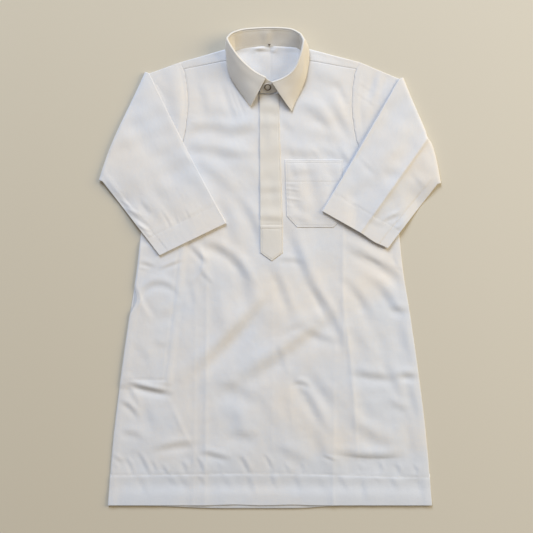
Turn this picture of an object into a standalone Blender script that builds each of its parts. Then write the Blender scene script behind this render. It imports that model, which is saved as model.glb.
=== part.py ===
"""A child's thobe (long plain robe), laid flat with its front up and its sleeves folded in.

+X is the wearer's left, +Y runs from the hem to the collar and +Z points up from the table, which
is z = 0. The origin is on the table, under the middle of the garment. Lengths are in millimetres
here, and become metres where a mesh is made.

Every piece is cloth: an open surface, worked out from the sizes below, with a Solidify modifier for
its wall. The back lies on the table, the front lies on the back, and each later piece is placed
from the heights of the one below it.
"""
import math
from collections import namedtuple

import bmesh
import bpy
import numpy as np
from mathutils import Matrix, Vector

MM = 0.001

# ---------------------------------------------------------------- driving dimensions
CLOTH = 1.0                 # wall of every plain cloth piece
COLLAR_CLOTH = 1.2          # wall of the stiffened collar
GAP = 0.3                   # air between neighbouring pieces
STEP = CLOTH + GAP          # one more layer of cloth on the pile

HEM_Y = -319.2              # front hem, at its middle
HEM_DROP_RIGHT = 1.8        # the front hem hangs this much lower on the wearer's right
HEM_DROP_X = (-80.0, -150.0)    # x where that drop starts and is full
BACK_HEM_PEEK = 5.6         # the back hem shows this far below the front hem, at its middle
PUFF = 2.2                  # air caught between front and back, at the middle of the body
PUFF_RISE = 90.0            # the air grows to that over this height above the hem

NECK_X = -3.0               # the neck sits this far off the middle
NECK_HALF = 51.5            # half the neck opening, at the shoulder
BACK_NECK_Y = 297.4         # middle of the back neckline
BACK_NECK_DIP = 4.0         # the back neckline is this much lower beside the shoulder
SHOULDER_NECK_Y = 295.5     # outer line of the shoulder fold, at the neck
SHOULDER_ARM_Y = 277.0      # the same, at the armhole
SEAM_NECK_Y = 279.0         # the dropped front shoulder seam, at the neck
SEAM_ARM_Y = 267.6          # the same, at the armhole
LIFT = 1.8                  # the collar leaf under the back neck lifts the cloth this much
LIFT_Y = (248.0, 280.0)     # heights where the lift starts and is full
LIFT_X = (98.0, 64.0)       # the same, as distances from the neck's middle

# half the body's width (x) at heights y, hem to underarm
SIDE_SEAM = [(-319.2, 218.7), (-253.5, 214.0), (-149.6, 201.8), (-64.5, 189.7),
             (-1.0, 179.6), (36.7, 175.5), (121.8, 166.7)]
# the same along the armhole, underarm to shoulder
ARMHOLE = [(138.0, 140.4), (159.6, 121.5), (170.4, 117.5), (196.0, 112.5), (221.7, 110.7),
           (239.2, 111.5), (252.7, 113.4), (SEAM_ARM_Y, 116.5), (SHOULDER_ARM_Y, 121.2)]
# heights of the panels' rows below the underarm, closer together at the pocket mouth
PANEL_ROWS = [-319.2, -280.0, -240.0, -200.0, -169.0, -156.0, -120.0, -84.0, -66.0,
              -55.0, -45.0, -35.0, -22.0, 2.0, 27.0, 40.0, 80.0, 121.8]

# front neckline: across (share of half the neck) and its height y
FRONT_NECK = [(0.0, 234.2), (0.12, 235.6), (0.38, 244.0), (0.64, 256.5), (0.87, 271.0),
              (1.0, SEAM_NECK_Y)]
# columns of both panels, as shares of half the body's width; the neck side is one of them
NECK_COLUMN = 0.425
COLUMNS = [0.0, 0.12, 0.24, 0.34, NECK_COLUMN, 0.56, 0.72, 0.88, 1.0]

# side pocket, wearer's right
MOUTH_LOW, MOUTH_HIGH = -67.0, -23.0    # the mouth's ends along the side seam
MOUTH_DEPTH = 6.5                       # how far the front's edge draws in at the mouth
MOUTH_CURVE = 22.0                      # and how gradually, along the seam
BAG_LOW, BAG_HIGH = -152.0, 22.0        # the bag's lower and upper ends
BAG_INNER = [(-152.0, -142.0), (-104.6, -137.0), (22.0, -123.0)]    # y and x of its inner side
BAG_MARGIN = 5.0                        # the bag stays this far inside the side seam
BAG_SLOPE = 10.0                        # the front settles round the bag over this width
GROWTH = 4.0                            # and starts to settle this far outside it

# placket
PLACKET_TOP = 233.4
PLACKET_SHOULDER = 19.4                 # where the pointed tip begins
PLACKET_TIP = 8.5
PLACKET_LEFT = [(8.0, -13.0), (233.4, -14.2)]                   # y and x of its free side
PLACKET_RIGHT = [(8.0, 17.1), (57.0, 17.1), (199.0, 12.6), (233.4, 12.2)]
SLIT_X, SLIT_WIDTH = 9.0, 0.8           # the front opening that it covers
SLIT_END, SLIT_TOP = 60.0, 280.0        # the opening's lower end, and a height past the neckline

# chest pocket
POCKET_TOP, POCKET_BOTTOM = 144.9, 53.8
POCKET_LEFT = [(53.8, 23.2), (144.9, 20.0)]
POCKET_RIGHT = [(53.8, 97.0), (144.9, 97.6)]
POCKET_CUT_INNER, POCKET_CUT_OUTER = (0.18, 15.0), (0.16, 10.0)  # cut corners: share across, height

# sleeves: the folded end lies on the front
FOLD_HEIGHT = 5.75          # middle of the folded-over cloth, at the fold
CUFF_HEIGHT = 7.5           # the same at the cuff, over the pocket
TUBE_HALF = (CLOTH + GAP) / 2           # from the sleeve's middle plane to the middle of a wall
UNDERARM_START = (168.4, 122.8)         # where the sleeve's under edge starts, clear of the side seam
Sleeve = namedtuple("Sleeve", "side fold_top fold_bottom fold_bow cuff_top cuff_bottom")
RIGHT_SLEEVE = Sleeve(-1, (-168.6, 263.9), (-231.1, 117.6), 3.5, (-59.3, 59.5), (-148.9, 16.2))
LEFT_SLEEVE = Sleeve(1, (180.1, 256.2), (231.1, 113.7), 4.5, (70.5, 75.6), (159.0, 25.9))

# collar: the band's foot and top, the leaf's outer edge, and how far the leaf bows outwards
COLLAR_STEPS = 2            # columns from one station of the collar to the next
LEAF_ROLL = 1.1             # radius of the fold over the top of the stand
Station = namedtuple("Station", "foot top edge bow")
COLLAR = [
    Station((-6.0, 235.2, 5.4), (-5.5, 253.0, 16.2), (-24.0, 217.5, 5.6), 2.5),
    Station((-22.0, 244.5, 5.4), (-21.5, 264.5, 17.0), (-38.5, 232.0, 5.6), 2.5),
    Station((-36.0, 257.0, 5.8), (-38.0, 279.0, 19.5), (-49.5, 248.0, 5.9), 2.5),
    Station((-48.0, 272.0, 6.6), (-48.8, 294.0, 21.0), (-57.5, 265.0, 6.8), 2.5),
    Station((-53.4, 284.2, 7.4), (-56.0, 308.5, 20.5), (-60.6, 283.0, 7.4), 2.5),
    Station((-50.5, 289.6, 5.8), (-53.5, 313.3, 18.8), (-60.4, 299.3, 4.2), 2.5),
    Station((-48.6, 291.4, 4.8), (-50.9, 315.2, 17.6), (-57.0, 298.6, 0.7), 2.0),
    Station((-46.0, 292.8, 4.0), (-47.5, 316.8, 16.5), (-49.5, 291.5, 0.6), 4.6),
    Station((-31.9, 295.7, 3.8), (-31.9, 321.0, 14.0), (-33.0, 290.6, 0.6), 4.2),
    Station((-1.0, 297.5, 3.8), (-0.5, 322.8, 13.3), (0.0, 291.5, 0.6), 3.0),
    Station((25.0, 295.9, 3.8), (27.0, 321.0, 14.0), (26.5, 291.0, 0.6), 3.5),
    Station((40.0, 292.8, 4.0), (40.0, 314.4, 16.6), (42.0, 291.5, 0.6), 5.0),
    Station((42.6, 291.4, 4.8), (41.9, 311.9, 17.7), (49.8, 298.6, 0.7), 2.0),
    Station((44.5, 289.6, 5.8), (43.0, 309.0, 18.8), (53.0, 299.3, 4.2), 2.5),
    Station((47.4, 284.2, 7.4), (43.8, 303.5, 20.8), (54.2, 282.0, 7.4), 2.5),
    Station((43.0, 268.0, 6.6), (40.0, 286.0, 21.0), (51.4, 263.0, 6.8), 2.5),
    Station((32.0, 253.0, 5.8), (32.5, 268.6, 19.6), (45.3, 247.0, 5.9), 2.5),
    Station((18.5, 242.3, 6.6), (19.2, 257.5, 18.0), (38.5, 231.0, 5.6), 2.5),
    Station((2.7, 235.0, 7.0), (2.8, 250.0, 17.0), (29.3, 210.5, 5.6), 2.5),
]
# the band's plain ends, beyond the leaf: foot and top, from the leaf outwards
UNDER_END = [((2.7, 236.2, 5.4), (2.7, 250.2, 15.0)), ((11.6, 240.1, 5.4), (11.5, 249.5, 12.2))]
OVER_END = [((-7.5, 234.4, 7.0), (-7.5, 244.8, 13.6)), ((-13.0, 234.4, 7.0), (-13.0, 239.4, 10.0))]

# press snap on the band's over end
SNAP_X = -3.2
SNAP_UP = 8.8               # its middle, up the band from the foot
SNAP_RADIUS = 4.1           # middle of the ring's rim
SNAP_RIM = 0.65

# linen-white cotton and antique brass: colour, roughness, metallic
COTTON = ((0.80, 0.79, 0.76, 1.0), 0.9, 0.0)
COTTON_COLLAR = ((0.74, 0.71, 0.66, 1.0), 0.85, 0.0)
BRASS = ((0.22, 0.17, 0.11, 1.0), 0.45, 0.9)


# ---------------------------------------------------------------- helpers
def ramp(value, low, high):
    """A smooth step: 0 at low, 1 at high."""
    share = min(max((value - low) / (high - low), 0.0), 1.0)
    return share * share * (3.0 - 2.0 * share)


def read(table, at):
    """The second column of a two-column table at a value of its first, in straight runs."""
    return float(np.interp(at, [row[0] for row in table], [row[1] for row in table]))


def smooth_rows(rows, steps):
    """More rows between those of a table, on a Catmull-Rom curve through them."""
    rows = np.array(rows, dtype=float)
    padded = np.vstack([2 * rows[0] - rows[1], rows, 2 * rows[-1] - rows[-2]])
    out = []
    for i in range(len(rows) - 1):
        a, b, c, d = padded[i:i + 4]
        for k in range(steps):
            t = k / steps
            out.append(0.5 * (2 * b + (c - a) * t + (2 * a - 5 * b + 4 * c - d) * t ** 2
                              + (3 * b - a - 3 * c + d) * t ** 3))
    return np.array(out + [rows[-1]])


def unit(vectors):
    """Each row of an array of vectors, at length 1."""
    return vectors / np.linalg.norm(vectors, axis=-1, keepdims=True)


def material(name, finish):
    colour, roughness, metallic = finish
    made = bpy.data.materials.new(name)
    made.use_nodes = True
    shader = made.node_tree.nodes["Principled BSDF"]
    shader.inputs["Base Color"].default_value = colour
    shader.inputs["Roughness"].default_value = roughness
    shader.inputs["Metallic"].default_value = metallic
    return made


def object_from(mesh_builder, name, finish, collection):
    """A named object, in metres, from a bmesh in millimetres."""
    bmesh.ops.scale(mesh_builder, vec=(MM, MM, MM), verts=mesh_builder.verts)
    mesh = bpy.data.meshes.new(name)
    mesh_builder.to_mesh(mesh)
    mesh_builder.free()
    mesh.shade_smooth()
    made = bpy.data.objects.new(name, mesh)
    made.data.materials.append(material(name + "_cloth", finish))
    collection.objects.link(made)
    return made


def cloth(name, points, collection, wall=CLOTH, keep=None, ring=False, finish=COTTON):
    """A cloth piece: a grid moved onto an array of points (rows, columns, xyz), then a wall.

    keep(row, column) says which of the grid's faces stay; ring joins the last column to the first.
    """
    rows, columns = points.shape[:2]
    grid = bmesh.new()
    bmesh.ops.create_grid(grid, x_segments=columns - 1, y_segments=rows - 1, size=0.5)
    grid.verts.ensure_lookup_table()
    place = {}
    for vertex in grid.verts:
        column = round((vertex.co.x + 0.5) * (columns - 1))
        row = round((vertex.co.y + 0.5) * (rows - 1))
        place[vertex] = (row, column)
    if keep:
        cut = [face for face in grid.faces
               if not keep(min(place[v][0] for v in face.verts), min(place[v][1] for v in face.verts))]
    for vertex, (row, column) in place.items():
        vertex.co = points[row, column]
    if keep:
        bmesh.ops.delete(grid, geom=cut, context="FACES")
    if ring:
        bmesh.ops.remove_doubles(grid, verts=grid.verts, dist=0.001)
    bmesh.ops.recalc_face_normals(grid, faces=grid.faces)
    made = object_from(grid, name, finish, collection)
    wall_modifier = made.modifiers.new("wall", "SOLIDIFY")
    wall_modifier.thickness = wall * MM
    wall_modifier.offset = 0.0
    wall_modifier.use_even_offset = True
    return made


# ---------------------------------------------------------------- the body's outline and heights
def side_x(y):
    """Half the body's width at a height, along the side seam and the armhole."""
    return read(SIDE_SEAM + ARMHOLE, y)


def across_neck(x):
    """How far out from the neck's middle, as a share of half the neck."""
    return abs(x - NECK_X) / NECK_HALF


def shoulder_line(x, at_neck, at_arm, arm_y):
    """Height y of a straight shoulder line, from beside the neck to the armhole."""
    side = math.copysign(1.0, x)
    inner, outer = NECK_X + side * NECK_HALF, side * side_x(arm_y)
    return at_neck + (at_arm - at_neck) * (x - inner) / (outer - inner)


def lift(x, y):
    """Rise of the cloth round the back neck, where the collar leaf lies under it."""
    return LIFT * ramp(y, *LIFT_Y) * ramp(abs(x - NECK_X), *LIFT_X)


def puff(x, y):
    """Air between front and back: most at the middle, none at the sides and the hem."""
    return PUFF * (1.0 - min(abs(x) / side_x(y), 1.0) ** 2) * ramp(y, HEM_Y, HEM_Y + PUFF_RISE)


def over_bag(x, y):
    """1 on the side pocket's bag, falling to 0 round it."""
    inner = read(BAG_INNER, y)
    start, end = GROWTH, GROWTH + BAG_SLOPE
    return (ramp(x, inner + end, inner + start) * ramp(y, BAG_LOW - end, BAG_LOW - start)
            * ramp(y, BAG_HIGH + end, BAG_HIGH + start))


def back_middle(x, y):
    """Middle of the back's wall."""
    return CLOTH / 2 + lift(x, y)


def front_middle(x, y):
    """Middle of the front's wall, a layer above the back."""
    return back_middle(x, y) + STEP + puff(x, y) + STEP * over_bag(x, y)


def on_front(x, y):
    """Middle of the wall of a piece that lies on the front."""
    return front_middle(x, y) + STEP


def front_hem(x):
    return HEM_Y - HEM_DROP_RIGHT * ramp(x, *HEM_DROP_X)


def back_hem(x):
    return HEM_Y - BACK_HEM_PEEK * max(1.0 - (x / side_x(HEM_Y)) ** 2, 0.0)


def panel_columns():
    """Shares of the half width from the wearer's right side to the left."""
    return [-share for share in reversed(COLUMNS[1:])] + COLUMNS


def panel_x(share, row_y):
    """x of a column at a row: the neck's columns lean towards the neck's own middle."""
    lean = NECK_X * (1.0 - share ** 2) ** 2 / (1.0 - NECK_COLUMN ** 2) ** 2
    return share * side_x(row_y) + lean * ramp(row_y, 60.0, SHOULDER_ARM_Y - 20.0)


# ---------------------------------------------------------------- the panels
def make_back(collection):
    """The back: flat on the table, turned over the shoulder folds and down to the front seams."""
    row_heights = PANEL_ROWS + [row[0] for row in ARMHOLE]
    turn = [math.radians(angle) for angle in (-45.0, 0.0, 45.0, 90.0)]
    shares = panel_columns()
    points = np.zeros((len(row_heights) + len(turn) + 1, len(shares), 3))
    for column, share in enumerate(shares):
        top_x = panel_x(share, SHOULDER_ARM_Y)
        beside_neck = abs(share) < NECK_COLUMN - 0.001
        fold = shoulder_line(top_x, SHOULDER_NECK_Y, SHOULDER_ARM_Y, SHOULDER_ARM_Y)
        low, high = back_middle(top_x, fold), front_middle(top_x, fold)
        radius = (high - low) / 2
        centre = fold - radius - CLOTH / 2
        top_y = BACK_NECK_Y - BACK_NECK_DIP * across_neck(top_x) ** 2 if beside_neck else centre
        for row, height in enumerate(row_heights):
            x = panel_x(share, height)
            hem = back_hem(x)
            y = hem + (height - HEM_Y) / (SHOULDER_ARM_Y - HEM_Y) * (top_y - hem)
            points[row, column] = x, y, back_middle(x, y)
        if abs(share) == 1.0:
            # the side edge passes through the armhole's own points, so the sleeve can follow it
            points[:-len(turn) - 2, column, 1] = [back_hem(side_x(HEM_Y))] + row_heights[1:-1]
        for step, angle in enumerate(turn):
            row = len(row_heights) + step
            points[row, column] = (top_x, centre + radius * math.cos(angle),
                                   low + radius + radius * math.sin(angle))
        seam_x = panel_x(share, SEAM_ARM_Y)
        seam = shoulder_line(seam_x, SEAM_NECK_Y, SEAM_ARM_Y, SEAM_ARM_Y) + 1.5 * GAP
        points[-1, column] = seam_x, seam, front_middle(seam_x, seam)

    def keep(row, column):
        middle = abs(shares[column] + shares[column + 1]) / 2
        return row < len(row_heights) - 1 or middle > NECK_COLUMN
    return cloth("back_panel", points, collection, keep=keep)


def front_top(x):
    """Upper edge of the front: the neckline, then the dropped shoulder seam."""
    if across_neck(x) < 1.0:
        return read(FRONT_NECK, across_neck(x))
    return shoulder_line(x, SEAM_NECK_Y, SEAM_ARM_Y, SEAM_ARM_Y)


def make_front(collection, cutters):
    """The front: it lies on the back, draws in at the pocket mouth and is slit under the placket."""
    row_heights = PANEL_ROWS + [row[0] for row in ARMHOLE[:-1]]
    shares = panel_columns()
    points = np.zeros((len(row_heights), len(shares), 3))
    for column, share in enumerate(shares):
        top_y = front_top(panel_x(share, SEAM_ARM_Y))
        for row, height in enumerate(row_heights):
            x = panel_x(share, height)
            hem = front_hem(x)
            y = hem + (height - HEM_Y) / (SEAM_ARM_Y - HEM_Y) * (top_y - hem)
            if x < 0.0:
                mouth = (ramp(y, MOUTH_LOW, MOUTH_LOW + MOUTH_CURVE)
                         * ramp(y, MOUTH_HIGH, MOUTH_HIGH - MOUTH_CURVE))
                x += MOUTH_DEPTH * mouth * abs(share) ** 12
            points[row, column] = x, y, front_middle(x, y)
    front = cloth("front_panel", points, collection)

    slit = bmesh.new()
    bmesh.ops.create_cube(slit, size=1.0)
    bmesh.ops.scale(slit, vec=(SLIT_WIDTH, SLIT_TOP - SLIT_END, 20 * CLOTH), verts=slit.verts)
    bmesh.ops.translate(slit, vec=(SLIT_X, (SLIT_TOP + SLIT_END) / 2, 0.0), verts=slit.verts)
    cutter = object_from(slit, "front_slit_cutter", COTTON, cutters)
    cutter.hide_render = True
    cutter.display_type = "WIRE"
    cut = front.modifiers.new("front_opening", "BOOLEAN")
    cut.operation = "DIFFERENCE"
    cut.object = cutter
    return front


def strip_points(rows, columns, left, right, bottom, top, height):
    """Points of a piece between two sides, given as tables of y and x.

    bottom(share) and top are the y of its lower and upper edge, and height(x, y) is its z.
    """
    points = np.zeros((len(rows), len(columns), 3))
    for i, up in enumerate(rows):
        for j, share in enumerate(columns):
            y = bottom(share) + up * (top - bottom(share))
            x = read(left, y) * (1.0 - share) + read(right, y) * share
            points[i, j] = x, y, height(x, y)
    return points


def make_placket(collection):
    """The box placket, ending in a point."""
    def tip(share):
        return PLACKET_SHOULDER - (PLACKET_SHOULDER - PLACKET_TIP) * (1.0 - abs(2.0 * share - 1.0))
    points = strip_points(np.linspace(0.0, 1.0, 13), np.linspace(0.0, 1.0, 5), PLACKET_LEFT,
                          PLACKET_RIGHT, tip, PLACKET_TOP, on_front)
    return cloth("placket", points, collection)


def make_chest_pocket(collection):
    """The patch pocket, its two lower corners cut off."""
    inner_share, inner_rise = POCKET_CUT_INNER
    outer_share, outer_rise = POCKET_CUT_OUTER

    def bottom(share):
        inner = inner_rise * max(1.0 - share / inner_share, 0.0)
        outer = outer_rise * max((share - 1.0 + outer_share) / outer_share, 0.0)
        return POCKET_BOTTOM + inner + outer
    columns = [0.0, inner_share, 0.35, 0.52, 0.68, 1.0 - outer_share, 1.0]
    points = strip_points(np.linspace(0.0, 1.0, 7), columns, POCKET_LEFT, POCKET_RIGHT, bottom,
                          POCKET_TOP, on_front)
    return cloth("chest_pocket", points, collection)


def make_side_pocket_bag(collection):
    """The side pocket's bag, pressed flat between the back and the front."""
    outer = [(y, BAG_MARGIN - side_x(y)) for y in np.linspace(BAG_LOW, BAG_HIGH, 7)]
    points = strip_points(np.linspace(0.0, 1.0, 9), np.linspace(0.0, 1.0, 4), outer, BAG_INNER,
                          lambda share: BAG_LOW, BAG_HIGH, lambda x, y: back_middle(x, y) + STEP)
    return cloth("side_pocket_bag", points, collection)


# ---------------------------------------------------------------- the sleeves
def sleeve_middle(sleeve):
    """Middle plane of a flattened sleeve: from the armhole to the fold, round it, and to the cuff.

    Rows run along the sleeve, columns from its upper edge to its under edge.
    """
    armhole = [(row[1], row[0]) for row in reversed(ARMHOLE)]
    reach = TUBE_HALF + CLOTH / 2
    start = np.array([(sleeve.side * (x + 2 * GAP), y) for x, y in armhole]
                     + [(sleeve.side * UNDERARM_START[0], UNDERARM_START[1])])
    start[0, 1] -= reach
    run = np.concatenate([[0.0], np.cumsum(np.linalg.norm(np.diff(start, axis=0), axis=1))])
    share = run / run[-1]

    def line(upper, lower):
        """Points from the upper edge to the under edge, the tube's rounding left free."""
        upper, lower = np.array(upper), np.array(lower)
        inset = unit(lower - upper) * reach
        return (upper + inset) + share[:, None] * (lower - upper - 2 * inset)

    rise = (FOLD_HEIGHT - reach) / 2
    fold = line(sleeve.fold_top, sleeve.fold_bottom)
    along = unit(np.array(sleeve.fold_bottom) - np.array(sleeve.fold_top))
    outward = np.array([-along[1], along[0]]) * sleeve.side
    fold = fold + outward * (sleeve.fold_bow * np.sin(math.pi * share ** 1.6)[:, None] - rise - reach)
    cuff = line(sleeve.cuff_top, sleeve.cuff_bottom)

    rows = []
    for t in np.linspace(0.0, 1.0, 4):
        flat = start * (1.0 - t) + fold * t
        rows.append(np.column_stack([flat, np.full(len(flat), reach)]))
    for angle in np.radians([-60.0, -30.0, 0.0, 30.0, 60.0]):
        flat = fold + outward * rise * math.cos(angle)
        rows.append(np.column_stack([flat, np.full(len(flat), reach + rise * (1.0 + math.sin(angle)))]))
    for t in np.linspace(0.0, 1.0, 4):
        flat = fold * (1.0 - t) + cuff * t
        rows.append(np.column_stack([flat, np.full(len(flat), FOLD_HEIGHT + (CUFF_HEIGHT - FOLD_HEIGHT) * t)]))
    return np.array(rows)


def make_sleeve(name, sleeve, collection):
    """A sleeve as a flattened tube: both layers, joined by a half round along each edge."""
    middle = sleeve_middle(sleeve)
    along = unit(np.gradient(middle, axis=0))
    across = unit(np.gradient(middle, axis=1))
    normal = unit(np.cross(across, along)) * -sleeve.side
    if normal[0, 0, 2] < 0.0:
        normal = -normal
    outward = unit(np.cross(normal, along))
    if np.sum(outward[0, -1] * across[0, -1]) < 0.0:
        outward = -outward
    ring = []
    for column in range(middle.shape[1]):
        ring.append(middle[:, column] - TUBE_HALF * normal[:, column])
    for angle in np.radians([-45.0, 0.0, 45.0]):
        ring.append(middle[:, -1] + TUBE_HALF * (math.cos(angle) * outward[:, -1]
                                                 + math.sin(angle) * normal[:, -1]))
    for column in reversed(range(middle.shape[1])):
        ring.append(middle[:, column] + TUBE_HALF * normal[:, column])
    for angle in np.radians([45.0, 0.0, -45.0]):
        ring.append(middle[:, 0] + TUBE_HALF * (-math.cos(angle) * outward[:, 0]
                                                + math.sin(angle) * normal[:, 0]))
    ring.append(ring[0])
    points = np.stack(ring, axis=1)
    return cloth(name, points, collection, ring=True)


# ---------------------------------------------------------------- the collar
def band_lines():
    """The band's foot and top, from its under end round the neck to its over end."""
    feet_and_tops = ([UNDER_END[1], UNDER_END[0]] + [(s.foot, s.top) for s in COLLAR]
                     + [OVER_END[0], OVER_END[1]])
    stations = smooth_rows([foot + top for foot, top in feet_and_tops], COLLAR_STEPS)
    return stations[:, :3], stations[:, 3:]


def make_collar_stand(collection):
    """The band: a wall from its foot on the neckline to its top, its ends lapped."""
    foot, top = band_lines()
    points = np.array([foot * (1.0 - t) + top * t for t in (0.0, 0.5, 1.0)])
    return cloth("collar_stand", points, collection, wall=COLLAR_CLOTH, finish=COTTON_COLLAR)


def make_collar_leaf(collection):
    """The leaf: a small roll over the band's top, then down to its outer edge."""
    stations = smooth_rows([s.edge + (s.bow,) for s in COLLAR], COLLAR_STEPS)
    edge, bow = stations[:, :3], stations[:, 3:]
    first = len(UNDER_END) * COLLAR_STEPS
    foot, top = (line[first:first + len(edge)] for line in band_lines())
    tangent = unit(np.gradient(top, axis=0))
    up = top - foot
    outward = unit(np.cross(up, tangent))
    up = unit(np.cross(tangent, outward))
    start = top + up * 2.0 * GAP
    rows = []
    for angle in np.radians([0.0, 45.0, 90.0, 135.0]):
        rows.append(start + LEAF_ROLL * (outward * (1.0 - math.cos(angle)) + up * math.sin(angle)))
    over = start + 2.0 * LEAF_ROLL * outward
    for t in (0.0, 0.15, 0.35, 0.55, 0.78, 1.0):
        row = over * (1.0 - t) + edge * t + outward * bow * 4.0 * t * (1.0 - t)
        row[:, 2] = np.maximum(row[:, 2], COLLAR_CLOTH / 2)
        rows.append(row)
    return cloth("collar_leaf", np.array(rows), collection, wall=COLLAR_CLOTH, finish=COTTON_COLLAR)


def make_snap_ring(collection):
    """The press snap's ring, on the outer face of the band's over end."""
    foot_a, top_a = (np.array(p) for p in OVER_END[0])
    foot_b, top_b = np.array(COLLAR[-1].foot), np.array(COLLAR[-1].top)
    share = (SNAP_X - foot_a[0]) / (foot_b[0] - foot_a[0])
    foot = foot_a * (1.0 - share) + foot_b * share
    up = unit(top_a * (1.0 - share) + top_b * share - foot)
    along = unit(foot_b - foot_a)
    outward = unit(np.cross(along, up))
    along = np.cross(up, outward)
    centre = foot + up * SNAP_UP + outward * (COLLAR_CLOTH / 2 + GAP + SNAP_RIM + 0.2)
    bpy.ops.mesh.primitive_torus_add(major_segments=24, minor_segments=6,
                                     major_radius=SNAP_RADIUS * MM, minor_radius=SNAP_RIM * MM)
    ring = bpy.context.active_object
    ring.name = ring.data.name = "snap_ring"
    axes = Matrix(np.column_stack([along, up, outward]).tolist()).to_4x4()
    ring.matrix_world = Matrix.Translation(Vector(centre) * MM) @ axes
    ring.data.shade_smooth()
    ring.data.materials.append(material("snap_ring_brass", BRASS))
    for home in ring.users_collection:
        home.objects.unlink(ring)
    collection.objects.link(ring)
    return ring


def main():
    for old in list(bpy.data.objects):
        bpy.data.objects.remove(old, do_unlink=True)
    thobe = bpy.data.collections.new("thobe")
    cutters = bpy.data.collections.new("thobe_cutters")
    for collection in (thobe, cutters):
        bpy.context.scene.collection.children.link(collection)
    make_back(thobe)
    make_front(thobe, cutters)
    make_side_pocket_bag(thobe)
    make_placket(thobe)
    make_chest_pocket(thobe)
    make_sleeve("right_sleeve", RIGHT_SLEEVE, thobe)
    make_sleeve("left_sleeve", LEFT_SLEEVE, thobe)
    make_collar_stand(thobe)
    make_collar_leaf(thobe)
    make_snap_ring(thobe)


main()
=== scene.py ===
# %% [markdown]
# # A child's thobe, laid flat
# The robe is white cotton, with a shirt collar, a covered front placket, a patch pocket on the chest
# and a pocket in its side seam. It lies on a table, front up, with both sleeves folded in. The solids
# in the frame are plain walls of cloth. Here each one gets a thin, fine shell on the same form, with
# its folds, seams and stitches. Lengths are in millimetres until a mesh is made.

# %% Load the frame
import math
from collections import namedtuple

import bpy
import numpy as np
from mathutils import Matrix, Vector


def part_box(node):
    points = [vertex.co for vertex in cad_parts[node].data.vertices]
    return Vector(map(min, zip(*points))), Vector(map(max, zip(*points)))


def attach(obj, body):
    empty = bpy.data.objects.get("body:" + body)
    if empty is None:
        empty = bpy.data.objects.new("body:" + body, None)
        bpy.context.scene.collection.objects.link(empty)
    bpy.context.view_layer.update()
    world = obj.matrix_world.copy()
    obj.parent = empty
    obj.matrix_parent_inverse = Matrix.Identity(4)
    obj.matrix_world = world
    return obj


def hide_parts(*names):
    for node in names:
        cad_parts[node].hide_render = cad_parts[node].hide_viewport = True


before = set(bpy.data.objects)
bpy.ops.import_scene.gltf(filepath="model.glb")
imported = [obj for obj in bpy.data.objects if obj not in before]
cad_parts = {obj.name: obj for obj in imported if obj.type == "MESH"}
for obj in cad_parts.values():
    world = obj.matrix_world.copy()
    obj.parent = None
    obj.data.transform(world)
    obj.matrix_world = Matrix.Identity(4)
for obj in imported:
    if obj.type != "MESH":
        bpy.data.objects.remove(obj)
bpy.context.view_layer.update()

MM = 0.001


def node_box(node):
    """A solid's lowest and highest corners, in millimetres."""
    low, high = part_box(node)
    return np.array(low) / MM, np.array(high) / MM


for name in sorted(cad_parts):
    low, high = node_box(name)
    print(f"{name:16s} from {low.round(1)} to {high.round(1)} mm")

# %% [markdown]
# ## Small tools for curves and surfaces
# A cloth piece is a grid of points: rows one way, columns the other. These helpers read a table of
# sizes as a smooth curve, space the rows closer where a seam or an edge needs them, and add up gentle
# ripples. All of them work on whole arrays at once, which is quick and keeps each formula in one place.

# %% Curves, steps and ripples
def ramp(value, low, high):
    """A smooth step: 0 at low, 1 at high, 3t^2 - 2t^3 between."""
    t = np.clip((value - low) / (high - low), 0.0, 1.0)
    return t * t * (3.0 - 2.0 * t)


def bell(distance, width):
    """A bell curve, 1 at distance 0 and 0.37 at the width: exp(-(d / w)^2)."""
    return np.exp(-(distance / width) ** 2)


def read(table, at):
    """The second column of a table at values of its first, in straight runs."""
    places, values = np.array(table, float).T
    return np.interp(at, places, values)


def through(table, at):
    """A smooth curve through a table: between two rows, the cubic that meets both and has at each the
    mean slope of its neighbours."""
    places, values = np.array(table, float).T
    slopes = np.gradient(values, places)
    i = np.clip(np.searchsorted(places, at, side="right") - 1, 0, len(places) - 2)
    span = places[i + 1] - places[i]
    t = np.clip((at - places[i]) / span, 0.0, 1.0)
    return (values[i] * (1 + 2 * t) * (1 - t) ** 2 + values[i + 1] * t * t * (3 - 2 * t)
            + span * (slopes[i] * t * (1 - t) ** 2 - slopes[i + 1] * t * t * (1 - t)))


def smooth_rows(rows, steps):
    """More rows between those of a table, on a Catmull-Rom curve through them."""
    rows = np.array(rows, float)
    padded = np.vstack([2 * rows[0] - rows[1], rows, 2 * rows[-1] - rows[-2]])
    t = (np.arange(steps) / steps)[None, :, None]
    a, b, c, d = (padded[k:len(padded) - 3 + k][:, None] for k in range(4))
    curve = 0.5 * (2 * b + (c - a) * t + (2 * a - 5 * b + 4 * c - d) * t ** 2
                   + (3 * b - a - 3 * c + d) * t ** 3)
    return np.vstack([curve.reshape(-1, rows.shape[1]), rows[-1:]])


def unit(vectors):
    """Each vector of an array at length 1."""
    return vectors / np.maximum(np.linalg.norm(vectors, axis=-1, keepdims=True), 1e-9)


def graded(low, high, count, spots):
    """Places from low to high, closer together at the spots (place, reach, extra): they cut the running
    total of a density, 1 plus a bell of that height at each spot, into equal steps."""
    fine = np.linspace(low, high, 6000)
    density = np.ones_like(fine)
    for place, reach, extra in spots:
        density += extra * bell(fine - place, reach)
    total = np.concatenate([[0.0], np.cumsum((density[1:] + density[:-1]) / 2)])
    return np.interp(np.linspace(0.0, total[-1], count), total, fine)


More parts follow.
